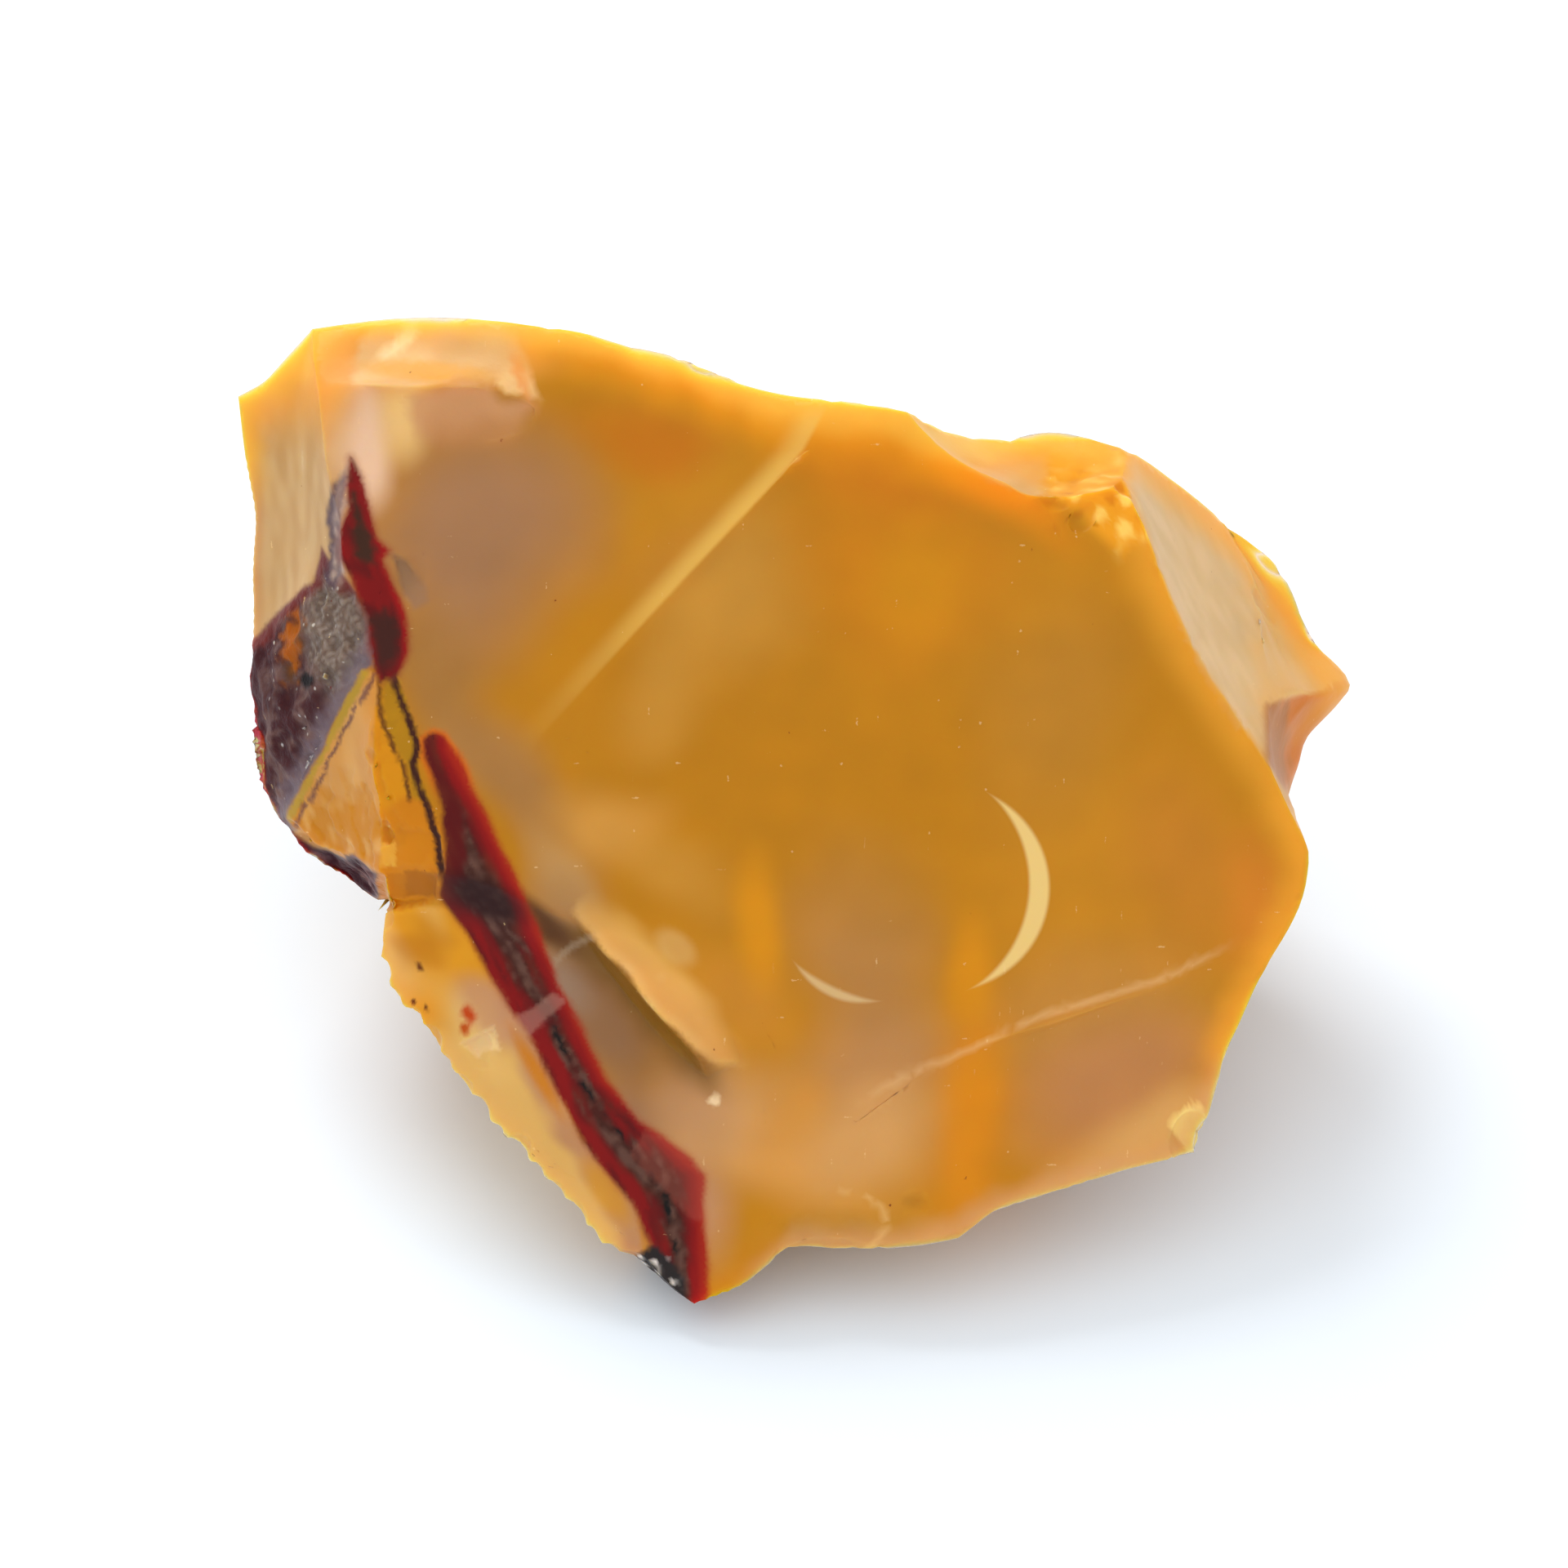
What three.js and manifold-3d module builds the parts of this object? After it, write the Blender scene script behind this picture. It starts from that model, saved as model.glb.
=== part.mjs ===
// Mookaite jasper: one broken lump of yellow and mauve chert, 55 mm across, resting on a flat break.
// It has a big struck face, smaller flake scars round it, a rough rind on the left flank and a
// stepped ledge low on the struck face. All of it is one solid.
//
// The stone is described the way a knapper would: junctions are joined by arrises, the sharp ridges
// between flake scars, and each scar is a thin skin stretched over its ring of arrises, then hollowed
// or swelled. Small chips are cut out afterwards.

import * as THREE from "three";
import { TessellateModifier } from "three/addons/modifiers/TessellateModifier.js";
import { mergeGeometries, mergeVertices } from "three/addons/utils/BufferGeometryUtils.js";
import Module from "manifold-3d";

// Driving dimensions, in millimetres and degrees.
const FACE_TILT = 45; // the struck face leans back this far from upright
const FACE_HEIGHT = 21; // its middle is this far above the surface that the stone rests on
const MESH_STEP = 3; // longest side of a triangle
const ARRIS_STEP = 2.1; // spacing of points along an arris
const HIDDEN_WANDER = 0.8; // how far an arris on the hidden side strays from straight
const RELAX_PASSES = 300; // rounds of settling, enough for the widest scar
const NIBBLE_PITCH = 1.35; // spacing of the tiny chips along the lower left edge
const SAME = 1e-3; // points closer than this are one

const tilt = THREE.MathUtils.degToRad(FACE_TILT);

// A point given square on to the struck face: across to the right, up along the face, out of it.
function onFace(across, up, out) {
  return new THREE.Vector3(
    across,
    up * Math.cos(tilt) - out * Math.sin(tilt),
    up * Math.sin(tilt) + out * Math.cos(tilt) + FACE_HEIGHT,
  );
}

// A point given as it stands: right, back and up from the surface.
const standing = (x, y, z) => new THREE.Vector3(x, y, z);

// Junctions of the arrises that ring the struck face and the scars beside it.
const junctions = {
  horn: onFace(-26.9, 20.7, -8),
  shoulder: onFace(-23.2, 24, -6),
  ridgeShoulder: onFace(-22.9, 21.2, -3.8),
  scarTop: onFace(-13.6, 24.3, -3.5),
  scarInner: onFace(-12.1, 20.1, -1.5),
  crestTop: onFace(2.3, 20.4, -0.9),
  crestFoot: onFace(-12, 4, 0),
  notch: onFace(6, 19.9, -1.5),
  knob: onFace(13, 19.1, -7.5),
  ridgeTop: onFace(16.7, 16.3, -2.6),
  cornerBack: onFace(17, 18, -7),
  creaseTop: onFace(21.5, 14.6, -11),
  creaseFoot: onFace(23.8, 5.5, -5.6),
  tip: onFace(28, 6.5, -15),
  tipRoot: onFace(24.6, 0.6, -11),
  ridgeLow: onFace(23.7, 2.7, -3),
  ridgeFoot: onFace(24.8, 0.3, -3.6),
  crestEnd: onFace(24.5, -6, -3.9),
  lowCorner: onFace(20.2, -16.6, -3.6),
  lowStep: onFace(10.2, -19.4, -2.1),
  lowMid: onFace(0.2, -21.1, -2.2),
  lowCrestStart: onFace(0.8, -17.4, -1.6),
  toeRight: onFace(-2.2, -23.1, -2.7),
  toe: onFace(-4.4, -23.9, -3.1),
  toeLeft: onFace(-7, -21.4, -3.5),
  ledgeTop: onFace(-10.2, -5.2, 0),
  ledgeEnd: onFace(-2.1, -12, -0.6),
  arcEnd: onFace(-16.7, -11.8, -4.1),
  heel: onFace(-19.6, -4.9, -4.6),
  flankFoot: onFace(-19.4, -4.7, -14),
  flankCorner: onFace(-24.7, -0.5, -12.5),
  rindTop: onFace(-26.1, 8.6, -11),
  veinTop: onFace(-21.8, 15, -2.3),
  ridgeMid: onFace(-20.2, 6.9, -1.8),
  ridgeLowLeft: onFace(-19.8, -2.8, -4),
  orangeCorner: onFace(-24.5, 0.1, -10.2),
  // The hidden back and underside, where the stone is thickest.
  backLeft: standing(-20.5, 22.5, 20),
  backMid: standing(-6, 23.5, 20.5),
  backRight: standing(11, 22, 18),
  waistLeft: standing(-18, 23, 8.5),
  waistMid: standing(-5.5, 26, 12),
  waistLow: standing(3.5, 26.5, 8.5),
  waistRight: standing(15, 22.5, 8),
  keelRight: standing(21, 3, 7),
  keelLeft: standing(-15, 0, 5.5),
  foot1: standing(-8, -5.5, 0),
  foot2: standing(7, -6.5, 0),
  foot3: standing(16, 2, 0),
  foot4: standing(18, 13, 0),
  foot5: standing(8, 20, 0),
  foot6: standing(-8, 20.5, 0),
  foot7: standing(-15, 12, 0),
  foot8: standing(-12.5, 1.5, 0),
};

// Each arris runs from its first junction to its second, through points given square on to the face.
const arrises = {
  topLeftEdge: ["horn", [-26, 20.9, -7.4], [-24.8, 22.4, -6.6], "shoulder"],
  scarEdge: ["shoulder", [-20.8, 24.3, -5.2], [-17.2, 24.6, -4.5], "scarTop"],
  topEdge: [
    "scarTop", [-10.2, 23.8, -3], [-7.1, 23.3, -2.4], [-4.3, 22.3, -1.9], [-1, 20.8, -1.4], "crestTop",
  ],
  topEdgeRight: ["crestTop", [5, 20.1, -1.1], "notch"],
  notchFloor: ["notch", [7.3, 19.2, -4], [8.6, 18.7, -6], [11.7, 18.6, -7.5], "knob"],
  knobEdge: ["knob", [15.1, 18.6, -7.2], "cornerBack"],
  backRightEdge: ["cornerBack", [19.5, 16.4, -9], "creaseTop"],
  rightEdge: ["creaseTop", [22.8, 14, -11.6], [24.7, 11.9, -13], [25.4, 10.1, -13.4], "tip"],
  tipEdge: ["tip", [25.9, 3.7, -13], "tipRoot"],
  tipInner: ["tipRoot", "ridgeFoot"],
  rightCorner: ["ridgeFoot", [25.7, -1.2, -4], [25.95, -3, -4.2], [25.4, -4.4, -4.1], "crestEnd"],
  lowerRightEdge: [
    "crestEnd", [22.7, -9.3, -3.6], [21.5, -12.3, -3.4], [20.8, -14.9, -3.5], "lowCorner",
  ],
  bottomRightEdge: ["lowCorner", [16, -17.5, -2.8], [11.8, -19, -2.3], "lowStep"],
  bottomEdge: ["lowStep", [8.1, -20.9, -2.2], [4.8, -21.2, -2.2], [3, -21.4, -2.3], "lowMid"],
  toeEdge: ["lowMid", [-0.9, -22.1, -2.4], "toeRight"],
  toeFront: ["toeRight", "toe"],
  toeBreak: ["toe", "toeLeft"],
  toeUnder: ["toeLeft", [-6.7, -22, -4.8], [-5.8, -23.1, -4.4], "toe"],
  sawEdgeLow: [
    "toeLeft", [-8.1, -21.7, -3.4], [-9.4, -20.4, -3.4], [-10.5, -19.1, -3.4], [-12.7, -16.7, -3.6],
    [-14.7, -14.6, -3.8], "arcEnd",
  ],
  sawEdgeHigh: ["arcEnd", [-17.9, -10, -4.4], [-19.2, -8.8, -4.8], [-19.8, -7.2, -5], "heel"],
  heelInner: ["heel", "flankFoot"],
  flankEdge: ["flankFoot", [-21.6, -3.4, -13.5], [-24.2, -1.6, -12.8], "flankCorner"],
  rindEdge: ["flankCorner", [-25.6, 0.8, -12.5], [-26.1, 4.2, -12.3], [-26.3, 6.8, -12], "rindTop"],
  leftEdge: ["rindTop", [-26.2, 10.9, -10.5], [-26, 15.2, -9.5], [-26.4, 16.7, -9], "horn"],
  shoulderRidge: ["shoulder", "ridgeShoulder"],
  leftRidgeHigh: ["ridgeShoulder", [-22.7, 19.2, -3], [-22.5, 16.9, -2.5], "veinTop"],
  leftRidge: ["veinTop", [-21.8, 12.9, -2.3], [-20.6, 10.4, -1.8], [-20.3, 8, -1.7], "ridgeMid"],
  leftRidgeLow: ["ridgeMid", [-20.4, 3.6, -2.3], [-20.2, 1.6, -2.7], [-19.8, 0, -3.1], "ridgeLowLeft"],
  heelRidge: ["ridgeLowLeft", "heel"],
  rindBorder: ["veinTop", [-23, 12.6, -4.6], [-24.2, 10.7, -7], "rindTop"],
  orangeEdge: ["ridgeMid", [-22.9, 3.6, -6], "orangeCorner"],
  orangeFoot: ["orangeCorner", [-23.8, -1, -10], [-22, -1.8, -8.4], [-20.9, -1.9, -6.2], "ridgeLowLeft"],
  flankStep: ["orangeCorner", "flankCorner"],
  scarRight: ["scarTop", [-12.8, 22.2, -2], "scarInner"],
  scarFoot: ["scarInner", [-16.5, 21, -1.9], [-20.2, 21.2, -2.9], "ridgeShoulder"],
  crest: ["crestTop", [1, 18, -0.2], [-1.8, 14.9, 0.4], [-4.9, 11.6, 0.7], [-8.2, 7.8, 0.6], "crestFoot"],
  notchRim: [
    "notch", [7.3, 18.4, -1.4], [8.9, 17.1, -1.2], [11.4, 16.1, -1.2], [13, 15.6, -1.3], [14.8, 15.9, -1.8],
    "ridgeTop",
  ],
  knobRidge: ["ridgeTop", "cornerBack"],
  rightRidge: [
    "ridgeTop", [17.6, 14.5, -2], [18.8, 11.1, -1.6], [20.3, 7.8, -1.8], [22, 5.2, -2.2], "ridgeLow",
  ],
  rightRidgeFoot: ["ridgeLow", "ridgeFoot"],
  rightCrease: ["creaseTop", [23.4, 11.2, -10.2], [23.6, 8.4, -7.8], "creaseFoot"],
  tipTop: ["creaseFoot", [25.1, 6.2, -8.5], [26.5, 6, -11.5], "tip"],
  tipSide: ["creaseFoot", "ridgeLow"],
  lowCrest: [
    "crestEnd", [18.5, -8.3, -1.9], [13.5, -10, -0.9], [8.8, -11.5, -0.7], [4.9, -14, -1.1], "lowCrestStart",
  ],
  scarCrease: [
    "ridgeLowLeft", [-16.8, -2.9, -1.8], [-15.8, -2.7, -1.3], [-13.1, -3.8, -0.5], [-11.8, -4.6, -0.2],
    "ledgeTop",
  ],
  ledgeBack: [
    "ledgeTop", [-9.6, -3.9, 0.1], [-8.4, -3.8, 0.2], [-6.9, -5, 0.3], [-5.5, -6.5, 0.3], [-3.7, -9, 0.1],
    [-2.2, -11, -0.3], "ledgeEnd",
  ],
  ledgeLip: [
    "ledgeTop", [-7.4, -8.2, 0.7], [-6.3, -9.7, 0.6], [-4.4, -11.6, 0.3], [-3.6, -12.3, 0], "ledgeEnd",
  ],
  ledgeRoot: [
    "ledgeTop", [-9, -7.1, -1.2], [-7.8, -8.6, -1.7], [-6.7, -10.1, -1.9], [-4.9, -12.1, -1.9],
    [-3.8, -12.8, -1.6], "ledgeEnd",
  ],
  arc: ["ledgeTop", [-9.9, -7.2, -1.7], [-10.9, -8.6, -2], [-12.7, -9.7, -2.4], [-14, -10.6, -2.9], "arcEnd"],
  backTopLeft: ["horn", "backLeft"],
  backTop: ["scarTop", "backMid"],
  backNotch: ["notch", "backRight"],
  backKnob: ["cornerBack", "backRight"],
  shoulderLineLeft: ["backLeft", "backMid"],
  shoulderLineRight: ["backMid", "backRight"],
  leftFlankLine: ["rindTop", "waistLeft"],
  backSpineLeft: ["backLeft", "waistLeft"],
  backSpineMid: ["backMid", "waistMid"],
  backSpineRight: ["backRight", "waistRight"],
  waistLineLeft: ["waistLeft", "waistMid"],
  waistBridge: ["waistMid", "waistLow"],
  waistLineRight: ["waistLow", "waistRight"],
  tipBack: ["tip", "waistRight"],
  flankToFoot: ["flankCorner", "foot7"],
  waistLeftFoot: ["waistLeft", "foot7"],
  waistMidFoot: ["waistLow", "foot6"],
  waistRightFoot: ["waistRight", "foot5"],
  tipFoot: ["tip", "foot4"],
  flankFootLine: ["flankFoot", "foot8"],
  tipRootKeel: ["tipRoot", "keelRight"],
  keelFoot: ["keelRight", "foot4"],
  crestEndKeel: ["crestEnd", "keelRight"],
  lowCornerFoot: ["lowCorner", "foot3"],
  lowStepFoot: ["lowStep", "foot2"],
  toeFoot: ["toe", "foot1"],
  keelLeftFoot: ["keelLeft", "foot1"],
  keelLeftHeel: ["keelLeft", "foot8"],
  arcKeel: ["arcEnd", "keelLeft"],
  sole1: ["foot1", "foot2"],
  sole2: ["foot2", "foot3"],
  sole3: ["foot3", "foot4"],
  sole4: ["foot4", "foot5"],
  sole5: ["foot5", "foot6"],
  sole6: ["foot6", "foot7"],
  sole7: ["foot7", "foot8"],
  sole8: ["foot8", "foot1"],
  fade: ["crestFoot", "ridgeMid"],
  scarFade: ["ledgeEnd", [-2.9, -15, -1.9], [-2.8, -19, -2.5], "toeRight"],
  lowFade: ["ledgeEnd", "lowCrestStart"],
  stepFade: ["lowCrestStart", "lowMid"],
};

// Where one scar runs on into the next with no ridge between them.
const softArrises = new Set(["fade", "scarFade", "lowFade", "stepFade"]);

// Each break: the arrises round it in order, and how far its middle swells (+) or is hollowed (-).
const scars = {
  struckUpper: [["scarRight", "topEdge", "crest", "fade", "leftRidge", "leftRidgeHigh", "scarFoot"], -0.3],
  struckMain: [
    [
      "crest", "fade", "leftRidgeLow", "scarCrease", "ledgeBack", "lowFade", "lowCrest", "rightCorner",
      "rightRidgeFoot", "rightRidge", "notchRim", "topEdgeRight",
    ],
    0.9,
  ],
  struckLow: [["lowCrest", "stepFade", "bottomEdge", "bottomRightEdge", "lowerRightEdge"], -0.3],
  struckToe: [["lowFade", "stepFade", "toeEdge", "scarFade"], 0],
  ledgeLipFace: [["ledgeBack", "ledgeLip"], 0],
  ledgeWall: [["ledgeLip", "ledgeRoot"], 0],
  lowerScarUpper: [["scarCrease", "arc", "sawEdgeHigh", "heelRidge"], -0.5],
  lowerScar: [["arc", "ledgeRoot", "scarFade", "toeFront", "toeBreak", "sawEdgeLow"], -0.2],
  toeBreakFace: [["toeBreak", "toeUnder"], 0],
  topScar: [["scarEdge", "scarRight", "scarFoot", "shoulderRidge"], -0.5],
  leftSide: [["topLeftEdge", "shoulderRidge", "leftRidgeHigh", "rindBorder", "leftEdge"], -0.4],
  rind: [["rindBorder", "leftRidge", "orangeEdge", "flankStep", "rindEdge"], 0.8],
  orangeFace: [["orangeEdge", "leftRidgeLow", "orangeFoot"], -0.3],
  flankUnder: [["orangeFoot", "heelRidge", "heelInner", "flankEdge", "flankStep"], -0.4],
  notchScar: [["notchRim", "knobRidge", "knobEdge", "notchFloor"], -0.8],
  rightFace: [["rightRidge", "tipSide", "rightCrease", "backRightEdge", "knobRidge"], -0.3],
  rightOuter: [["rightCrease", "tipTop", "rightEdge"], -0.6],
  tipUnder: [["tipSide", "tipTop", "tipEdge", "tipInner", "rightRidgeFoot"], -0.7],
  backUpperLeft: [["topLeftEdge", "scarEdge", "backTop", "shoulderLineLeft", "backTopLeft"], -1.8],
  backUpper: [["topEdge", "topEdgeRight", "backNotch", "shoulderLineRight", "backTop"], -2.6],
  backKnobFace: [["notchFloor", "knobEdge", "backKnob", "backNotch"], -0.8],
  backRightFace: [["backRightEdge", "rightEdge", "tipBack", "backSpineRight", "backKnob"], -1.7],
  backRightLow: [["tipFoot", "sole4", "waistRightFoot", "tipBack"], -0.8],
  backLeftFace: [["leftEdge", "leftFlankLine", "backSpineLeft", "backTopLeft"], -1.4],
  backLeftLow: [["rindEdge", "flankToFoot", "waistLeftFoot", "leftFlankLine"], -0.9],
  flankLow: [["flankEdge", "flankFootLine", "sole7", "flankToFoot"], -0.5],
  backMidLeft: [["shoulderLineLeft", "backSpineMid", "waistLineLeft", "backSpineLeft"], 0.8],
  backMidRight: [
    ["shoulderLineRight", "backSpineRight", "waistLineRight", "waistBridge", "backSpineMid"], -1.5,
  ],
  backLowLeft: [["waistLineLeft", "waistBridge", "waistMidFoot", "sole6", "waistLeftFoot"], -0.6],
  backLowRight: [["waistLineRight", "waistRightFoot", "sole5", "waistMidFoot"], -0.8],
  sole: [["sole1", "sole2", "sole3", "sole4", "sole5", "sole6", "sole7", "sole8"], 0],
  tipKeel: [["tipEdge", "tipRootKeel", "keelFoot", "tipFoot"], -0.6],
  rightKeel: [["tipInner", "tipRootKeel", "crestEndKeel", "rightCorner"], -0.4],
  rightUnder: [["crestEndKeel", "keelFoot", "sole3", "lowCornerFoot", "lowerRightEdge"], -1.6],
  frontUnderRight: [["lowCornerFoot", "sole2", "lowStepFoot", "bottomRightEdge"], -1],
  frontUnder: [["lowStepFoot", "sole1", "toeFoot", "toeFront", "toeEdge", "bottomEdge"], -0.6],
  leftUnderFront: [["toeFoot", "keelLeftFoot", "arcKeel", "sawEdgeLow", "toeUnder"], -0.8],
  leftUnder: [["arcKeel", "keelLeftHeel", "flankFootLine", "heelInner", "sawEdgeHigh"], -0.6],
  keelFace: [["keelLeftFoot", "sole8", "keelLeftHeel"], 0],
};

const wasm = await Module();
wasm.setup();

// A gentle, repeatable wander, so that no hidden arris is ruler straight.
function wander(p) {
  const wave = (a, b, c) => Math.sin(a * p.x + b * p.y + c * p.z + 7 * a);
  return new THREE.Vector3(wave(0.16, 0.21, 0.13), wave(0.22, -0.15, 0.19), wave(-0.18, 0.17, 0.2));
}

const rounded = (p) => new THREE.Vector3(...p.toArray().map(Math.fround));

// The points of an arris, evenly spaced. A listed one is a smooth curve through its points; a hidden
// one is given by its ends alone and wanders between them, but never off the flat underneath.
function sampleArris(list) {
  const through = list.map((p) => (typeof p === "string" ? junctions[p] : onFace(...p)));
  const hidden = through.length === 2;
  const curve = hidden
    ? new THREE.LineCurve3(...through)
    : new THREE.CatmullRomCurve3(through, false, "centripetal");
  const count = Math.max(1, Math.round(curve.getLength() / ARRIS_STEP));
  const points = curve.getSpacedPoints(count);
  points[0] = through[0];
  points[count] = through[through.length - 1];
  if (!hidden) return points.map(rounded);
  return points.map((p, i) => {
    const slack = Math.sin((Math.PI * i) / count) * Math.min(1, count / 6) * HIDDEN_WANDER;
    const moved = p.clone().addScaledVector(wander(p), slack);
    if (through.every((end) => end.z === 0)) moved.z = 0;
    return rounded(moved);
  });
}

const arrisPoints = Object.fromEntries(
  Object.entries(arrises).map(([name, list]) => [name, sampleArris(list)]),
);

// The ring of points round a scar, counter-clockwise as seen from outside the stone.
const stoneMiddle = standing(0, 8, 15);
const same = (p, q) => p.distanceTo(q) < SAME;

function ringOf(names) {
  const ring = [];
  let reached = null;
  names.forEach((name, i) => {
    const points = arrisPoints[name];
    const end = points[points.length - 1];
    const next = arrisPoints[names[(i + 1) % names.length]];
    const leadsOn = same(end, next[0]) || same(end, next[next.length - 1]);
    const forward = reached ? same(reached, points[0]) : leadsOn;
    const walked = forward ? points : [...points].reverse();
    if (reached && !same(reached, walked[0])) throw new Error(`the ring breaks at ${name}`);
    ring.push(...walked.slice(0, -1));
    reached = walked[walked.length - 1];
  });
  const middle = new THREE.Vector3();
  for (const p of ring) middle.addScaledVector(p, 1 / ring.length);
  const normal = new THREE.Vector3();
  ring.forEach((p, i) => {
    const q = ring[(i + 1) % ring.length];
    normal.add(new THREE.Vector3().crossVectors(p.clone().sub(middle), q.clone().sub(middle)));
  });
  normal.normalize();
  if (normal.dot(middle.clone().sub(stoneMiddle)) < 0) {
    ring.reverse();
    normal.negate();
  }
  return { ring, normal, middle };
}

const place = (p) => p.toArray().join();

// The ring of a scar filled with triangles no longer than the mesh step. Ring points belong to no one
// scar, so that neighbours join there and nowhere else.
function fillScar(names, scar) {
  const { ring, normal, middle } = ringOf(names);
  const side = new THREE.Vector3(0, 1, 0).cross(normal);
  if (side.lengthSq() < 0.1) side.set(1, 0, 0).cross(normal);
  side.normalize();
  const along = new THREE.Vector3().crossVectors(normal, side);
  const flat = ring.map((p) => {
    const q = p.clone().sub(middle);
    return new THREE.Vector2(q.dot(side), q.dot(along));
  });
  const positions = [];
  for (const [a, b, c] of THREE.ShapeUtils.triangulateShape(flat, [])) {
    const turn = flat[b].clone().sub(flat[a]).cross(flat[c].clone().sub(flat[a]));
    for (const i of turn > 0 ? [a, b, c] : [a, c, b]) positions.push(...ring[i].toArray());
  }
  const coarse = new THREE.BufferGeometry();
  coarse.setAttribute("position", new THREE.Float32BufferAttribute(positions, 3));
  const ringStep = Math.max(...ring.map((p, i) => p.distanceTo(ring[(i + 1) % ring.length])));
  const geometry = new TessellateModifier(Math.max(MESH_STEP, ringStep + SAME), 12).modify(coarse);
  const shared = new Set(ring.map(place));
  const owner = [];
  for (let i = 0; i < geometry.attributes.position.count; i += 1) {
    const p = new THREE.Vector3().fromBufferAttribute(geometry.attributes.position, i);
    owner.push(shared.has(place(p)) ? 0 : scar + 1);
  }
  geometry.setAttribute("owner", new THREE.Float32BufferAttribute(owner, 1));
  return geometry;
}

// All the scars together are one closed skin.
const names = Object.keys(scars);
const fills = names.map((name, scar) => fillScar(scars[name][0], scar));
const skin = mergeVertices(mergeGeometries(fills), SAME);
const corners = skin.index.array;
const points = [];
for (let i = 0; i < skin.attributes.position.count; i += 1) {
  points.push(new THREE.Vector3().fromBufferAttribute(skin.attributes.position, i));
}
const scarOfTriangle = fills.flatMap((fill, i) => Array(fill.attributes.position.count / 3).fill(i));

// Points on a ridge stay where they are. The rest are free to settle.
const onRidge = new Set();
for (const [name, line] of Object.entries(arrisPoints)) {
  const held = softArrises.has(name) ? [line[0], line[line.length - 1]] : line;
  for (const p of held) onRidge.add(place(p));
}
const fixed = points.map((p) => onRidge.has(place(p)));
const neighbours = points.map(() => new Set());
const scarsAt = points.map(() => new Set());
for (let i = 0; i < corners.length; i += 3) {
  const three = [corners[i], corners[i + 1], corners[i + 2]];
  for (const a of three) {
    scarsAt[a].add(scarOfTriangle[i / 3]);
    for (const b of three) if (a !== b) neighbours[a].add(b);
  }
}
const around = neighbours.map((set) => [...set]);

// The skin is pulled tight between its ridges, like a soap film.
for (let pass = 0; pass < RELAX_PASSES; pass += 1) {
  points.forEach((p, i) => {
    if (fixed[i]) return;
    p.set(0, 0, 0);
    for (const j of around[i]) p.addScaledVector(points[j], 1 / around[i].length);
  });
}

// How far each point is swelled: an even pressure on the film, which is nothing at the ridges.
function pressed(pressureAt) {
  const height = new Float64Array(points.length);
  for (let pass = 0; pass < RELAX_PASSES; pass += 1) {
    for (let i = 0; i < points.length; i += 1) {
      if (fixed[i]) continue;
      let sum = pressureAt(i);
      for (const j of around[i]) sum += height[j] / around[i].length;
      height[i] = sum;
    }
  }
  return height;
}

const evenly = pressed(() => 1);
const highest = names.map((name, s) => Math.max(1, ...evenly.filter((h, i) => scarsAt[i].has(s))));
const height = pressed((i) => {
  const here = [...scarsAt[i]];
  return here.reduce((sum, s) => sum + scars[names[s]][1] / highest[s] / here.length, 0);
});

function pointNormals() {
  const normals = points.map(() => new THREE.Vector3());
  for (let i = 0; i < corners.length; i += 3) {
    const [a, b, c] = [0, 1, 2].map((k) => points[corners[i + k]]);
    const facing = new THREE.Vector3().crossVectors(b.clone().sub(a), c.clone().sub(a));
    for (let k = 0; k < 3; k += 1) normals[corners[i + k]].add(facing);
  }
  return normals.map((n) => n.normalize());
}

const outward = pointNormals();
points.forEach((p, i) => p.addScaledVector(outward[i], height[i]));

function asSolid(vertices, triangles) {
  return new wasm.Manifold(
    new wasm.Mesh({
      numProp: 3,
      vertProperties: new Float32Array(vertices),
      triVerts: new Uint32Array(triangles),
    }),
  );
}

let solid = asSolid(points.flatMap((p) => p.toArray()), corners);

// The point of an arris that is a given part of the way along it.
const onArris = (name, part) => arrisPoints[name][Math.round(part * (arrisPoints[name].length - 1))];

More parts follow.
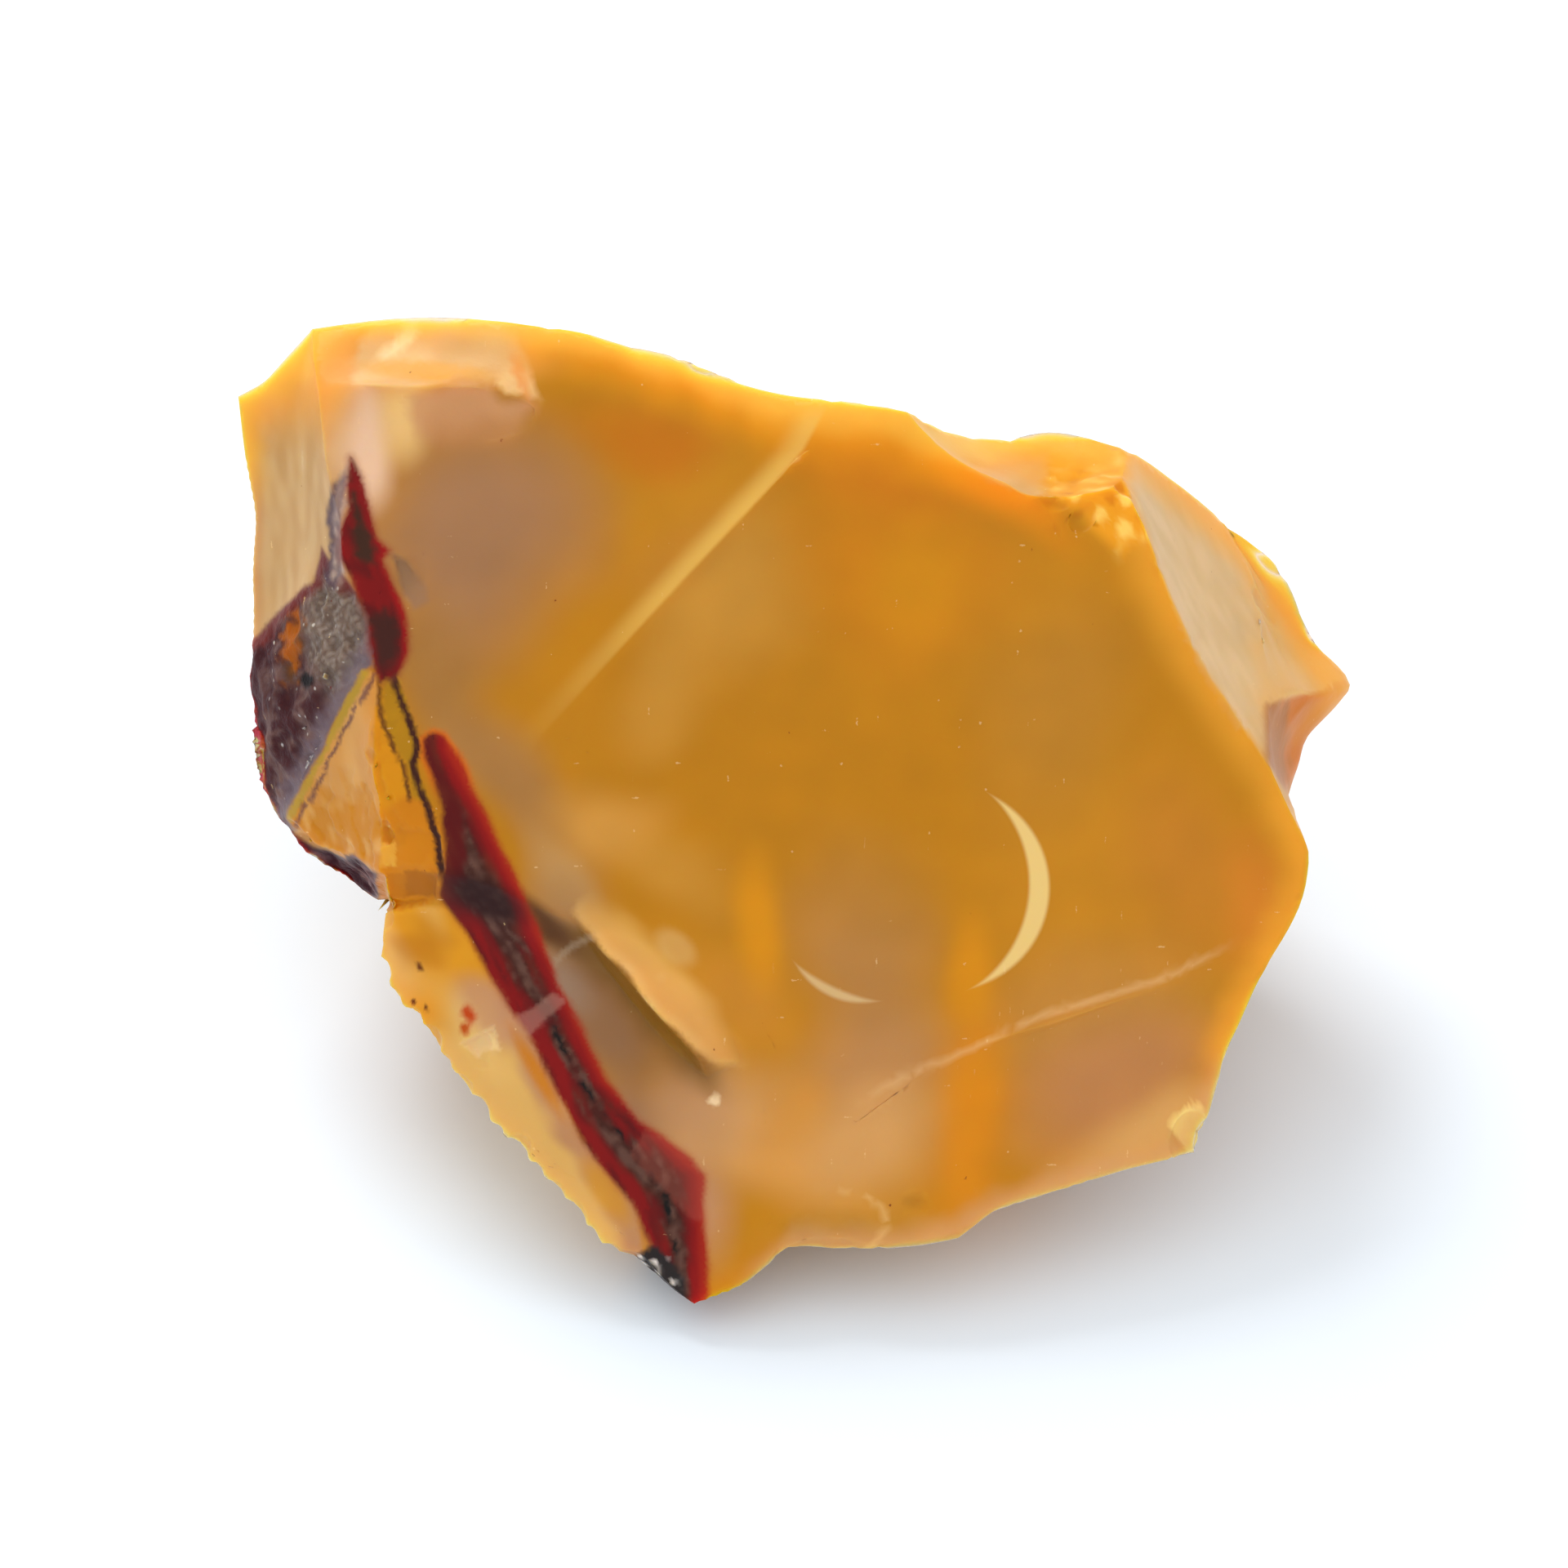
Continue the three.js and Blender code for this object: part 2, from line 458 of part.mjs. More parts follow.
// A chip is the bite of an ellipsoid whose long axis lies on the stone, turned about the stone's own
// normal there: [where, length, width, depth, turn].
const chips = [
  // On the struck face and its rim.
  [onFace(-15.4, 19.9, -1.5), 6.6, 3.2, 0.45, 5],
  [onFace(-18.5, 11.7, -1.6), 3, 2.2, 0.3, 70],
  [onFace(2, -20.2, -2.6), 5.6, 3, 0.5, 0],
  [onFace(19.7, -15.6, -4), 2.8, 1.9, 0.4, 60],
  [onFace(13.4, 15.5, -1.4), 2, 1.5, 0.35, 0],
  [onFace(14.8, 14.8, -1.5), 2.2, 1.4, 0.3, 40],
  [onFace(16.8, 16.2, -2.8), 2.2, 1.8, 0.5, 0],
  [onFace(-14.9, -11.4, -3.6), 2.4, 1.6, 0.3, 120],
  [onFace(24.2, 10.2, -11), 3, 1.6, 0.3, 100],
  // Pits in the rind and small breaks along the ridge beside it.
  [onFace(-23.6, 7.2, -6.4), 5.4, 3, 0.55, 80],
  [onFace(-24.6, 3.2, -8.6), 3, 2.2, 0.4, 60],
  [onFace(-22.6, 11.2, -4.6), 2.6, 1.8, 0.35, 100],
  [onArris("leftRidgeLow", 0.35), 1.9, 1.3, 0.3, 10],
  [onArris("leftRidgeLow", 0.7), 1.7, 1.3, 0.3, 60],
  [onArris("heelRidge", 0.5), 1.8, 1.3, 0.35, 0],
  // Along the ridges of the hidden side.
  [onArris("backTop", 0.5), 6, 3.6, 0.7, 10],
  [onArris("backSpineLeft", 0.55), 5, 3.2, 0.7, 80],
  [onArris("backSpineMid", 0.45), 4.6, 3, 0.6, 60],
  [onArris("backSpineRight", 0.6), 5, 3.4, 0.8, 30],
  [onArris("waistLineLeft", 0.5), 4.2, 2.6, 0.5, 0],
  [onArris("waistRightFoot", 0.5), 4.4, 3, 0.7, 90],
  [onArris("tipBack", 0.4), 4, 2.6, 0.5, 20],
  [onArris("flankToFoot", 0.5), 4.4, 3, 0.6, 0],
  [onArris("crestEndKeel", 0.5), 4, 2.6, 0.5, 40],
  [onArris("lowCornerFoot", 0.45), 4, 2.6, 0.5, 0],
  [onArris("arcKeel", 0.5), 4.4, 3, 0.6, 20],
];

// The thin lower left edge is nibbled all along, like the blade of a used tool.
const sawEdge = new THREE.CatmullRomCurve3(
  [...arrisPoints.sawEdgeLow, ...arrisPoints.sawEdgeHigh.slice(1)],
  false,
  "centripetal",
);
const nibbles = Math.round(sawEdge.getLength() / NIBBLE_PITCH);
for (let i = 1; i < nibbles; i += 1) {
  const size = 1 + 0.35 * Math.sin(2.4 * i);
  chips.push([sawEdge.getPointAt(i / nibbles), 1.5 * size, 1.1 * size, 0.34 * size, 40 * i]);
}

const ball = mergeVertices(
  new THREE.IcosahedronGeometry(1, 3).deleteAttribute("normal").deleteAttribute("uv"),
);

function chip([where, length, width, depth, turn]) {
  let nearest = 0;
  points.forEach((p, i) => {
    if (p.distanceTo(where) < points[nearest].distanceTo(where)) nearest = i;
  });
  const normal = outward[nearest];
  const off = where.clone().sub(points[nearest]).dot(normal);
  const tall = Math.max(2 * depth, 0.8 * width);
  const reach = Math.sqrt(1 - (1 - depth / tall) ** 2);
  const level = new THREE.Vector3(normal.y, -normal.x, 0).normalize();
  level.applyAxisAngle(normal, THREE.MathUtils.degToRad(turn));
  const axes = new THREE.Matrix4().makeBasis(
    level.clone().multiplyScalar(length / 2 / reach),
    new THREE.Vector3().crossVectors(normal, level).multiplyScalar(width / 2 / reach),
    normal.clone().multiplyScalar(tall),
  );
  axes.setPosition(where.clone().addScaledVector(normal, tall - depth - off));
  const cutter = ball.clone().applyMatrix4(axes);
  return asSolid(cutter.attributes.position.array, cutter.index.array);
}

for (const one of chips) solid = solid.subtract(chip(one));

const mesh = solid.getMesh();
const surface = new THREE.BufferGeometry();
surface.setAttribute("position", new THREE.BufferAttribute(mesh.vertProperties, 3));
surface.setIndex(new THREE.BufferAttribute(mesh.triVerts, 1));

// The origin is on the surface that the stone rests on, under the middle of its box.
surface.computeBoundingBox();
const { min, max } = surface.boundingBox;
surface.translate(-(min.x + max.x) / 2, -(min.y + max.y) / 2, -min.z);
surface.computeVertexNormals();

const jasper = new THREE.MeshStandardMaterial({ color: 0xc1811e, roughness: 0.62, metalness: 0 });
jasper.name = "jasper";
const stone = new THREE.Mesh(surface, jasper);
stone.name = "stone";

const group = new THREE.Group();
group.add(stone);
export default group;
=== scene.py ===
# %% [markdown]
# # A rough lump of mookaite jasper
# The stone is a rough flake of chert, 55 mm across, broken on every side. Its big struck face leans
# back and looks at the camera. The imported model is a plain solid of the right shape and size.
# This lesson gives it a fine surface, its small breaks, its colours and its waxy, slightly
# see-through body, and sets it on a white table.

# %% Load the frame
import math

import bmesh
import bpy
import numpy as np
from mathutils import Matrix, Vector
from mathutils.bvhtree import BVHTree
from mathutils.kdtree import KDTree


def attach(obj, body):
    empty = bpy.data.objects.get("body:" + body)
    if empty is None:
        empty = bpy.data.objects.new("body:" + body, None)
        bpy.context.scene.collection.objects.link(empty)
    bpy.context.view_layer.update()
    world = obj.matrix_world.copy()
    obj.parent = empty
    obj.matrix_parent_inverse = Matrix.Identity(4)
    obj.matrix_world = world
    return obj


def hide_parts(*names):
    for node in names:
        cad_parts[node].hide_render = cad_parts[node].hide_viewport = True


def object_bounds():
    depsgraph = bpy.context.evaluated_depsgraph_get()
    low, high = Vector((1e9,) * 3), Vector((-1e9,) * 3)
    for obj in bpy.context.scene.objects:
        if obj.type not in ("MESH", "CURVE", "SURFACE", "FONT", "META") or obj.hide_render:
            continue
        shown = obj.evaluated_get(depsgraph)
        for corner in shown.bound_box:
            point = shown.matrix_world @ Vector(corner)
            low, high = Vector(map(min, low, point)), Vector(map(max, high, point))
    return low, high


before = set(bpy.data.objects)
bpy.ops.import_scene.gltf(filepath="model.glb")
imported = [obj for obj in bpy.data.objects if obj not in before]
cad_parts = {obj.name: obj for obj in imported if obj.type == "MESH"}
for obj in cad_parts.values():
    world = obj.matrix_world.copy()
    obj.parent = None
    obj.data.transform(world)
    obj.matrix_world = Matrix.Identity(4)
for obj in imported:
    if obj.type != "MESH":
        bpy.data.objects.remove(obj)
cad_low, cad_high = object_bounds()
MM = 0.001
print("the solid measures", [round(side / MM, 2) for side in cad_high - cad_low], "mm")

# %% [markdown]
# On the real stone every marking is placed on the struck face, so the lesson measures the
# same way: `across` to the right along the face, `up` it, and `out` of it, in millimetres from the
# face's middle. The middle is found from the box: the tip of the horn on the left and the toe in
# front are known distances from it.

# %% The struck face's own directions
FACE_TILT = math.radians(45)
FACE_HEIGHT = 21 * MM
HORN_REACH = 26.9 * MM
TOE_REACH = 14.708 * MM

face_middle = Vector((cad_low.x + HORN_REACH, cad_low.y + TOE_REACH, cad_low.z + FACE_HEIGHT))
ACROSS = Vector((1, 0, 0))
UP = Vector((0, math.cos(FACE_TILT), math.sin(FACE_TILT)))
OUT = Vector((0, -math.sin(FACE_TILT), math.cos(FACE_TILT)))


def on_face(across, up, out=0.0):
    return face_middle + (ACROSS * across + UP * up + OUT * out) * MM


print("the middle of the struck face is at", [round(c / MM, 2) for c in face_middle], "mm")

# %% [markdown]
# The fine surface starts from a merged copy of the solid, thinned out where its faces are needlessly
# small. Subdivision would round off the arrises, the sharp ridges between two breaks, so each edge
# gets a crease as strong as its fold. Sculpting would do as well, but this gives the same stone on
# every run.

# %% A smooth copy of the solid
MERGE_GAP = 0.02 * MM
SOFT_FOLD = 14
SHARP_FOLD = 34
KEPT_FACES = 0.36


def in_scene(name, data):
    piece = bpy.data.objects.new(name, data)
    bpy.context.scene.collection.objects.link(piece)
    return piece


def plain_mesh(piece):
    seen = piece.evaluated_get(bpy.context.evaluated_depsgraph_get())
    return bpy.data.meshes.new_from_object(seen)


def copy_of_solid(node, name):
    shape = bmesh.new()
    shape.from_mesh(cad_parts[node].data)
    bmesh.ops.remove_doubles(shape, verts=shape.verts, dist=MERGE_GAP)
    bmesh.ops.dissolve_degenerate(shape, edges=shape.edges, dist=MERGE_GAP)
    mesh = bpy.data.meshes.new(name)
    shape.to_mesh(mesh)
    shape.free()
    return in_scene(name, mesh)


def crease_arrises(mesh):
    shape = bmesh.new()
    shape.from_mesh(mesh)
    crease = shape.edges.layers.float.new("crease_edge")
    for edge in shape.edges:
        fold = math.degrees(edge.calc_face_angle(0))
        edge[crease] = min(1, max(0, (fold - SOFT_FOLD) / (SHARP_FOLD - SOFT_FOLD)))
    shape.to_mesh(mesh)
    shape.free()


stone = copy_of_solid("stone", "mookaite")
thin_out = stone.modifiers.new("thin out", "DECIMATE")
thin_out.ratio = KEPT_FACES
thinned = plain_mesh(stone)
stone.modifiers.clear()
crease_arrises(thinned)
stone.data = thinned
smooth = stone.modifiers.new("smooth", "SUBSURF")
smooth.levels = 2
smooth.render_levels = 2
smooth_mesh = plain_mesh(stone)
stone.modifiers.clear()
print("smooth surface:", len(smooth_mesh.vertices), "points")

# %% [markdown]
# Some small helpers read and write all points of a mesh at once, as rows of a table. `settled` pulls
# each point towards its neighbours and then pushes it back a little further, so that a surface loses
# its jags but doesn't shrink.

# %% Points as tables
RIDGE_FOLD = 24
RIDGE_STEP = 0.1 * MM
PULL = 0.5
PUSH_BACK = -0.52


def ridge_points(mesh):
    shape = bmesh.new()
    shape.from_mesh(mesh)
    found = []
    for edge in shape.edges:
        fold = math.degrees(edge.calc_face_angle_signed(0))
        if abs(fold) < RIDGE_FOLD:
            continue
        start, end = (corner.co for corner in edge.verts)
        count = max(1, int((end - start).length / RIDGE_STEP))
        found += [(start.lerp(end, i / count), fold) for i in range(count)]
    shape.free()
    return found


def points_of(mesh):
    flat = np.empty(len(mesh.vertices) * 3)
    mesh.vertices.foreach_get("co", flat)
    return flat.reshape(-1, 3)


def normals_of(mesh):
    flat = np.empty(len(mesh.vertices) * 3, np.float32)
    mesh.vertex_normals.foreach_get("vector", flat)
    return flat.reshape(-1, 3)


def set_points(mesh, points):
    mesh.vertices.foreach_set("co", points.astype(np.float32).ravel())
    mesh.update()


def settled(mesh, values, held, passes):
    """Values of the points, each drawn towards its neighbours and back, so they lose only jags."""
    pairs = np.empty(len(mesh.edges) * 2, np.int32)
    mesh.edges.foreach_get("vertices", pairs)
    first, second = pairs.reshape(-1, 2).T
    count = np.bincount(pairs, minlength=len(values))[:, None]
    for step in range(passes):
        share = PULL if step % 2 == 0 else PUSH_BACK
        total = np.zeros_like(values)
        for column in range(values.shape[1]):
            total[:, column] += np.bincount(first, values[second, column], len(values))
            total[:, column] += np.bincount(second, values[first, column], len(values))
        moved = values + share * (total / count - values)
        values = np.where(held[:, None], values, moved)
    return values


ridges = ridge_points(smooth_mesh)
tree_of_ridges = KDTree(len(ridges))
for index, (place, _) in enumerate(ridges):
    tree_of_ridges.insert(place, index)
tree_of_ridges.balance()
print("arris points:", len(ridges))

# %% [markdown]
# Outlines say where each marking lies. They were drawn over the photograph, on the plane of
# the struck face, and are (across, up) in millimetres. `inside` gives how far inside an outline a
# point lies. That works for any shape and any point, and a fade over it makes a soft or crisp edge.

# %% Outlines of the markings
outlines = {
    "marked part": [(-30, 16), (-22.5, 19), (-17, 17), (-14, 6), (-1, -3), (-1, -25), (-12, -25), (-30, -4)],
    "upper vein": [
        (-21.3, 17.6), (-20.7, 16.7), (-20.4, 15.6), (-20, 13.6), (-19.4, 13), (-19.7, 12.6), (-19.4, 11.7),
        (-18.9, 10.7), (-18.4, 9), (-18.5, 8.2), (-19, 7), (-19.8, 6.7), (-20.2, 7.3), (-20.4, 8.4),
        (-20.4, 9.8), (-21, 11.1), (-21.7, 12.6), (-21.8, 13.8), (-21.4, 15.1), (-21.3, 16.7),
    ],
    "upper core": [
        (-21.2, 16.6), (-20.6, 14.6), (-20, 13.2), (-20.1, 12.3), (-20.8, 12.5), (-21.2, 13.3), (-21.2, 15),
    ],
    "upper foot": [(-20.3, 9.7), (-19.6, 10.2), (-19, 9.6), (-18.9, 8.6), (-19.3, 7.4), (-20, 7.4)],
    "lavender": [
        (-21.4, 17.1), (-22.2, 16.1), (-22.5, 14.4), (-22.3, 13.5), (-22.5, 11.4), (-21.9, 11.1),
        (-21.6, 12), (-21.7, 14.7), (-21.3, 16.4),
    ],
    "rind": [
        (-22.9, 12.7), (-23.2, 11.6), (-24.9, 10.2), (-26, 8.9), (-27.4, 8), (-27.4, 1), (-25.7, 0.1),
        (-24.6, -0.1), (-23, 2.8), (-20.8, 7.1), (-20.3, 7.5), (-20.3, 9.8), (-21, 11.1), (-22.2, 12.4),
        (-22.8, 13.3),
    ],
    "rind foot": [
        (-25.6, 0.2), (-26, -2.6), (-21.6, -6), (-20.3, -6), (-20.1, -4.3), (-19.8, -2.7), (-20.8, -2),
        (-23.2, -1.6), (-24.2, -1), (-24.6, 0),
    ],
    "facet": [
        (-20.1, 7.1), (-20.2, 3), (-19.8, 0.4), (-19.7, -3), (-21.1, -2), (-22.7, -1.6), (-24, -1.3),
        (-24.6, -0.1), (-23, 2.7), (-20.8, 7.2),
    ],
    "strip": [
        (-19.7, 7.3), (-19, 7), (-17.8, 3.5), (-18, 2.5), (-16.8, -0.6), (-16.6, -2.7), (-17, -2.9),
        (-17, -4.2), (-17.7, -4.5), (-20.2, -4.9), (-19.8, -1.2), (-20.2, 3), (-20.1, 7),
    ],
    "vein": [
        (-17.6, 3.7), (-17.2, 3.9), (-16.7, 3.8), (-16.3, 3.2), (-14.6, 0), (-12.8, -3.8), (-11.7, -6.8),
        (-10.2, -9.8), (-9.5, -11.6), (-8.7, -13), (-7.2, -15), (-5.7, -16), (-4.6, -16.8), (-4, -17.6),
        (-4, -20), (-3.8, -25), (-6.4, -25), (-6.4, -21.2), (-7.3, -19), (-9, -17), (-9.9, -15.8),
        (-12.5, -10.5), (-13.9, -8.6), (-15.5, -5.8), (-16.8, -3.8), (-16.5, -1.6), (-16.6, 0.1), (-17.5, 3),
    ],
    "tongue": [
        (-10.4, -4.8), (-10.2, -4.1), (-9.6, -3.6), (-8.6, -3.4), (-7, -3.6), (-5, -4.6), (-3, -6.4),
        (-1.4, -9), (-1.2, -12), (-2, -12.4), (-3.2, -12.3), (-4.3, -11.6), (-5.2, -10.4), (-6, -9.8),
        (-7.6, -7.8), (-8.8, -6.7), (-9.9, -5.5),
    ],
    "panel": [
        (-21.2, 21.2), (-21, 22.8), (-20.1, 24.6), (-16, 25.6), (-13.7, 24.4), (-12.9, 23), (-11.9, 20.3),
        (-12.3, 20.6), (-13.7, 20.7), (-14.4, 21.4), (-16, 21.6), (-17.7, 21.2), (-18.5, 20.8),
    ],
    "inner scar": [
        (-18.5, 20.8), (-16, 21.6), (-14.4, 21.4), (-13.7, 20.7), (-12, 20.7), (-11.9, 19.9),
        (-12.8, 18.4), (-14.4, 17.4), (-16.8, 17.6), (-18.2, 18.2), (-18.7, 19.6),
    ],
    "wedge": [(-18.5, 24.3), (-17.9, 24.4), (-18.1, 23.3), (-19.3, 22.5), (-20.1, 22.4)],
    "top strip": [
        (5.7, 20.4), (8.4, 19.4), (11.1, 19.4), (13.2, 19.6), (12.9, 15.9), (11.7, 15.8), (9.6, 16.7),
        (8.1, 17.8), (6.6, 19.1),
    ],
    "crushed": [
        (12.9, 15.9), (13.2, 19.6), (14.8, 19.2), (17.2, 18.4), (17, 16.2), (17.8, 13.8), (16.6, 12.9),
        (14.8, 14.4), (13.8, 15.5),
    ],
    "little scar": [(-19.4, 13), (-18.4, 12.6), (-17.5, 11.2), (-17.4, 10.6), (-18.2, 10), (-18.8, 10.8)],
    "cream chip": [(-16.1, -11.1), (-15, -10.6), (-14.2, -10.2), (-13.9, -11.5), (-14.7, -11.6), (-15, -12)],
    "pale band": [(-13.4, -10), (-11.2, -8.5), (-10.5, -8.9), (-12.6, -10.9)],
    "low band": [(-7.6, -16.6), (-6.8, -15.4), (-3, -16.4), (-3, -20), (-4.6, -20), (-5.6, -18.6)],
    "corner chip": [(19, -15.2), (19.8, -14.1), (20.5, -13.9), (21, -15.4), (20.2, -17), (19.5, -15.9)],
    "toe": [(-6.9, -21.3), (-6.4, -21), (-5.5, -21.8), (-4.9, -22.7), (-5, -25), (-8, -25), (-8, -22)],
}


def measure(mesh):
    """The points' places on the face: columns across, up and out, in millimetres."""
    return (points_of(mesh) - np.array(face_middle)) @ np.array([ACROSS, UP, OUT]).T / MM


def inside(outline, across, up):
    corners = np.array(outlines[outline])
    nearest = np.full(len(across), np.inf)
    within = np.zeros(len(across), bool)
    for (x0, y0), (x1, y1) in zip(corners, np.roll(corners, -1, 0)):
        run, rise = x1 - x0, y1 - y0
        share = np.clip(((across - x0) * run + (up - y0) * rise) / (run * run + rise * rise), 0, 1)
        nearest = np.minimum(nearest, np.hypot(across - x0 - share * run, up - y0 - share * rise))
        if rise:
            within ^= ((y0 > up) != (y1 > up)) & (across < run * (up - y0) / rise + x0)
    return np.where(within, nearest, -nearest)


print(len(outlines), "outlines")

# %% [markdown]
# Relief and colours need small faces. Long edges are cut in half until none is too long, and the
# markings on the left, which are finer, get a finer mesh, while the plain face stays light. Then the
# surface settles, all but the points on sharp arrises, which are held.

# %% Finer faces
PLAIN_EDGE = 0.62 * MM
MARKED_EDGE = 0.3 * MM
FINE_DEPTH = -16
CUTS = 5
HELD_FOLD = 50
ON_RIDGE = 0.01 * MM


def split_long_edges(mesh):
    across, up, out = measure(mesh).T
    marked = (inside("marked part", across, up) > 0) & (out > FINE_DEPTH)
    shape = bmesh.new()
    shape.from_mesh(mesh)
    bmesh.ops.triangulate(shape, faces=shape.faces)
    is_marked = shape.verts.layers.int.new("marked")
    for corner, value in zip(shape.verts, marked):
        corner[is_marked] = int(value)
    for _ in range(CUTS):
        cut = []
        for edge in shape.edges:
            fine = edge.verts[0][is_marked] or edge.verts[1][is_marked]
            if edge.calc_length() > (MARKED_EDGE if fine else PLAIN_EDGE):
                cut.append(edge)
        if not cut:
            break
        made = bmesh.ops.subdivide_edges(shape, edges=cut, cuts=1)
        for part in made["geom_inner"]:
            if isinstance(part, bmesh.types.BMVert):
                part[is_marked] = max(edge.other_vert(part)[is_marked] for edge in part.link_edges)
        bmesh.ops.triangulate(shape, faces=[face for face in shape.faces if len(face.verts) > 3])
    finer = bpy.data.meshes.new(mesh.name + "_finer")
    shape.to_mesh(finer)
    shape.free()
    return finer


fine_mesh = split_long_edges(smooth_mesh)
nearest = [tree_of_ridges.find(point) for point in points_of(fine_mesh)]
sharp = np.array([gap < ON_RIDGE and ridges[ridge][1] > HELD_FOLD for _, ridge, gap in nearest])
set_points(fine_mesh, settled(fine_mesh, points_of(fine_mesh), sharp, passes=8))
stone.data = fine_mesh
place = measure(fine_mesh)
across, up, out = place.T
print("points:", len(place), "triangles:", len(fine_mesh.polygons), "sharp:", int(sharp.sum()))

# %% [markdown]
# Two more things are measured for each point: how near an arris it is, because arrises chip, and
# whether the camera sees it. A ray sent from the point towards the camera tells that.

# %% Arris and front
NEAR_RIDGE = 1.2
OFF_SKIN = 0.1 * MM


def near_ridge(mesh):
    near = np.zeros(len(mesh.vertices))
    for index, point in enumerate(points_of(mesh)):
        _, ridge, distance = tree_of_ridges.find(point)
        if ridges[ridge][1] > 0:
            near[index] = max(0, 1 - distance / (NEAR_RIDGE * MM))
    return near


def facing_front(mesh):
    skin = BVHTree.FromPolygons([v.co for v in mesh.vertices], [p.vertices for p in mesh.polygons])
    free = np.zeros((len(mesh.vertices), 1))
    for index, (point, normal) in enumerate(zip(points_of(mesh), normals_of(mesh))):
        free[index] = skin.ray_cast(Vector(point + normal * OFF_SKIN), OUT)[0] is None
    return settled(mesh, free, np.zeros(len(free), bool), passes=10)[:, 0]


ridge = near_ridge(fine_mesh)
front = facing_front(fine_mesh)
print("points that the camera sees:", int((front > 0.5).sum()))

# %% [markdown]
# Nothing in a stone has an even edge. `wander` is a smooth random field: a few waves that cross in
# random directions, all from one seed. It bends outlines, mottles colours and spreads clouds.

# %% Fades and wanders
def fade(value, none, full):
    """0 where value is at none, 1 where it is at full, and smooth between them."""
    share = np.clip((value - none) / (full - none), 0, 1)
    return share * share * (3 - 2 * share)


def turned(turn):
    """The place with its first column along a line on the face, turned by that angle."""
    cos, sin = math.cos(math.radians(turn)), math.sin(math.radians(turn))
    return np.stack([across * cos + up * sin, up * cos - across * sin, out], 1)


def wander(size, seed, stretch=(1, 1, 1), turn=0, waves=24):
    """Between about -1 and 1, with lumps of that size in millimetres, stretched along the turn."""
    dice = np.random.default_rng(seed)
    directions = dice.normal(size=(waves, 3))
    directions /= np.linalg.norm(directions, axis=1)[:, None]
    turns = directions * (dice.uniform(0.6, 1.6, waves) * math.pi / size)[:, None]
    starts = dice.uniform(0, 2 * math.pi, waves)
    where = turned(turn)
    total = np.zeros(len(place))
    for wave, start in zip(turns / stretch, starts):
        total += np.cos(where @ wave + start)
    return total / math.sqrt(2 * waves)


ragged_across = across + wander(0.9, 1) * 0.06 + wander(2.5, 2) * 0.08
ragged_up = up + wander(0.9, 3) * 0.06 + wander(2.5, 4) * 0.08
depths = {name: inside(name, ragged_across, ragged_up) for name in outlines}


def oval(middle_across, middle_up, half_long, half_wide, turn=0):
    """0 in the middle of an oval on the face, 1 on its rim and more outside it."""
    cos, sin = math.cos(math.radians(turn)), math.sin(math.radians(turn))
    right, above = across - middle_across, up - middle_up
    return np.hypot((right * cos + above * sin) / half_long, (above * cos - right * sin) / half_wide)


def line_at(line):
    """How far across a line of (up, across) corners lies, at the height of each point."""
    return np.interp(up, *np.transpose(line))


print("wander runs from", round(wander(3, 5).min(), 2), "to", round(wander(3, 5).max(), 2))

# %% [markdown]
# The body of the stone is mustard yellow chert with soft clouds of mauve, tan and orange, as if dye
# had spread through it. A cloud is an oval whose rim fades over most of its width and strays with a
# slow wander. A list of clouds is easier to compare with the photograph than one noise would be,
# because each can be moved by itself. Colours are laid on one over the other, like glazes. The
# smaller orange spots stray less than the clouds. The face is painted a little darker up and to the
# left and lighter down and to the right, as painted shading of how the light falls across it. A faint
# pale line, a healed crack, crosses its lower right.

# %% Clouds of colour in the struck face
SHOWN = 1.09
SHINE = 0.014
DARKEST, PALEST = 0.002, 0.95


def paint(red, green, blue):
    """A colour as the lit stone should show it, made linear and freed of the light and the shine."""
    tones = [tone / 255 for tone in (red, green, blue)]
    linear = [((t + 0.055) / 1.055) ** 2.4 if t > 0.04 else t / 12.92 for t in tones]
    return np.clip(np.array(linear) / SHOWN - SHINE, DARKEST, PALEST)


def over(colour, amount, tint):
    """The colour, glazed with a tint by that amount."""
    return colour + (tint - colour) * np.asarray(amount)[:, None]


def layered(colour, glazes):
    """The colour under several glazes, each an amount and a tint, the last one on top."""
    for amount, tint in glazes:
        colour = over(colour, amount, tint)
    return colour


MUSTARD = paint(190, 128, 34)
HONEY = paint(205, 150, 66)
CREAM = paint(240, 200, 130)
MAUVE = paint(172, 126, 88)
ORANGE = paint(210, 133, 8)

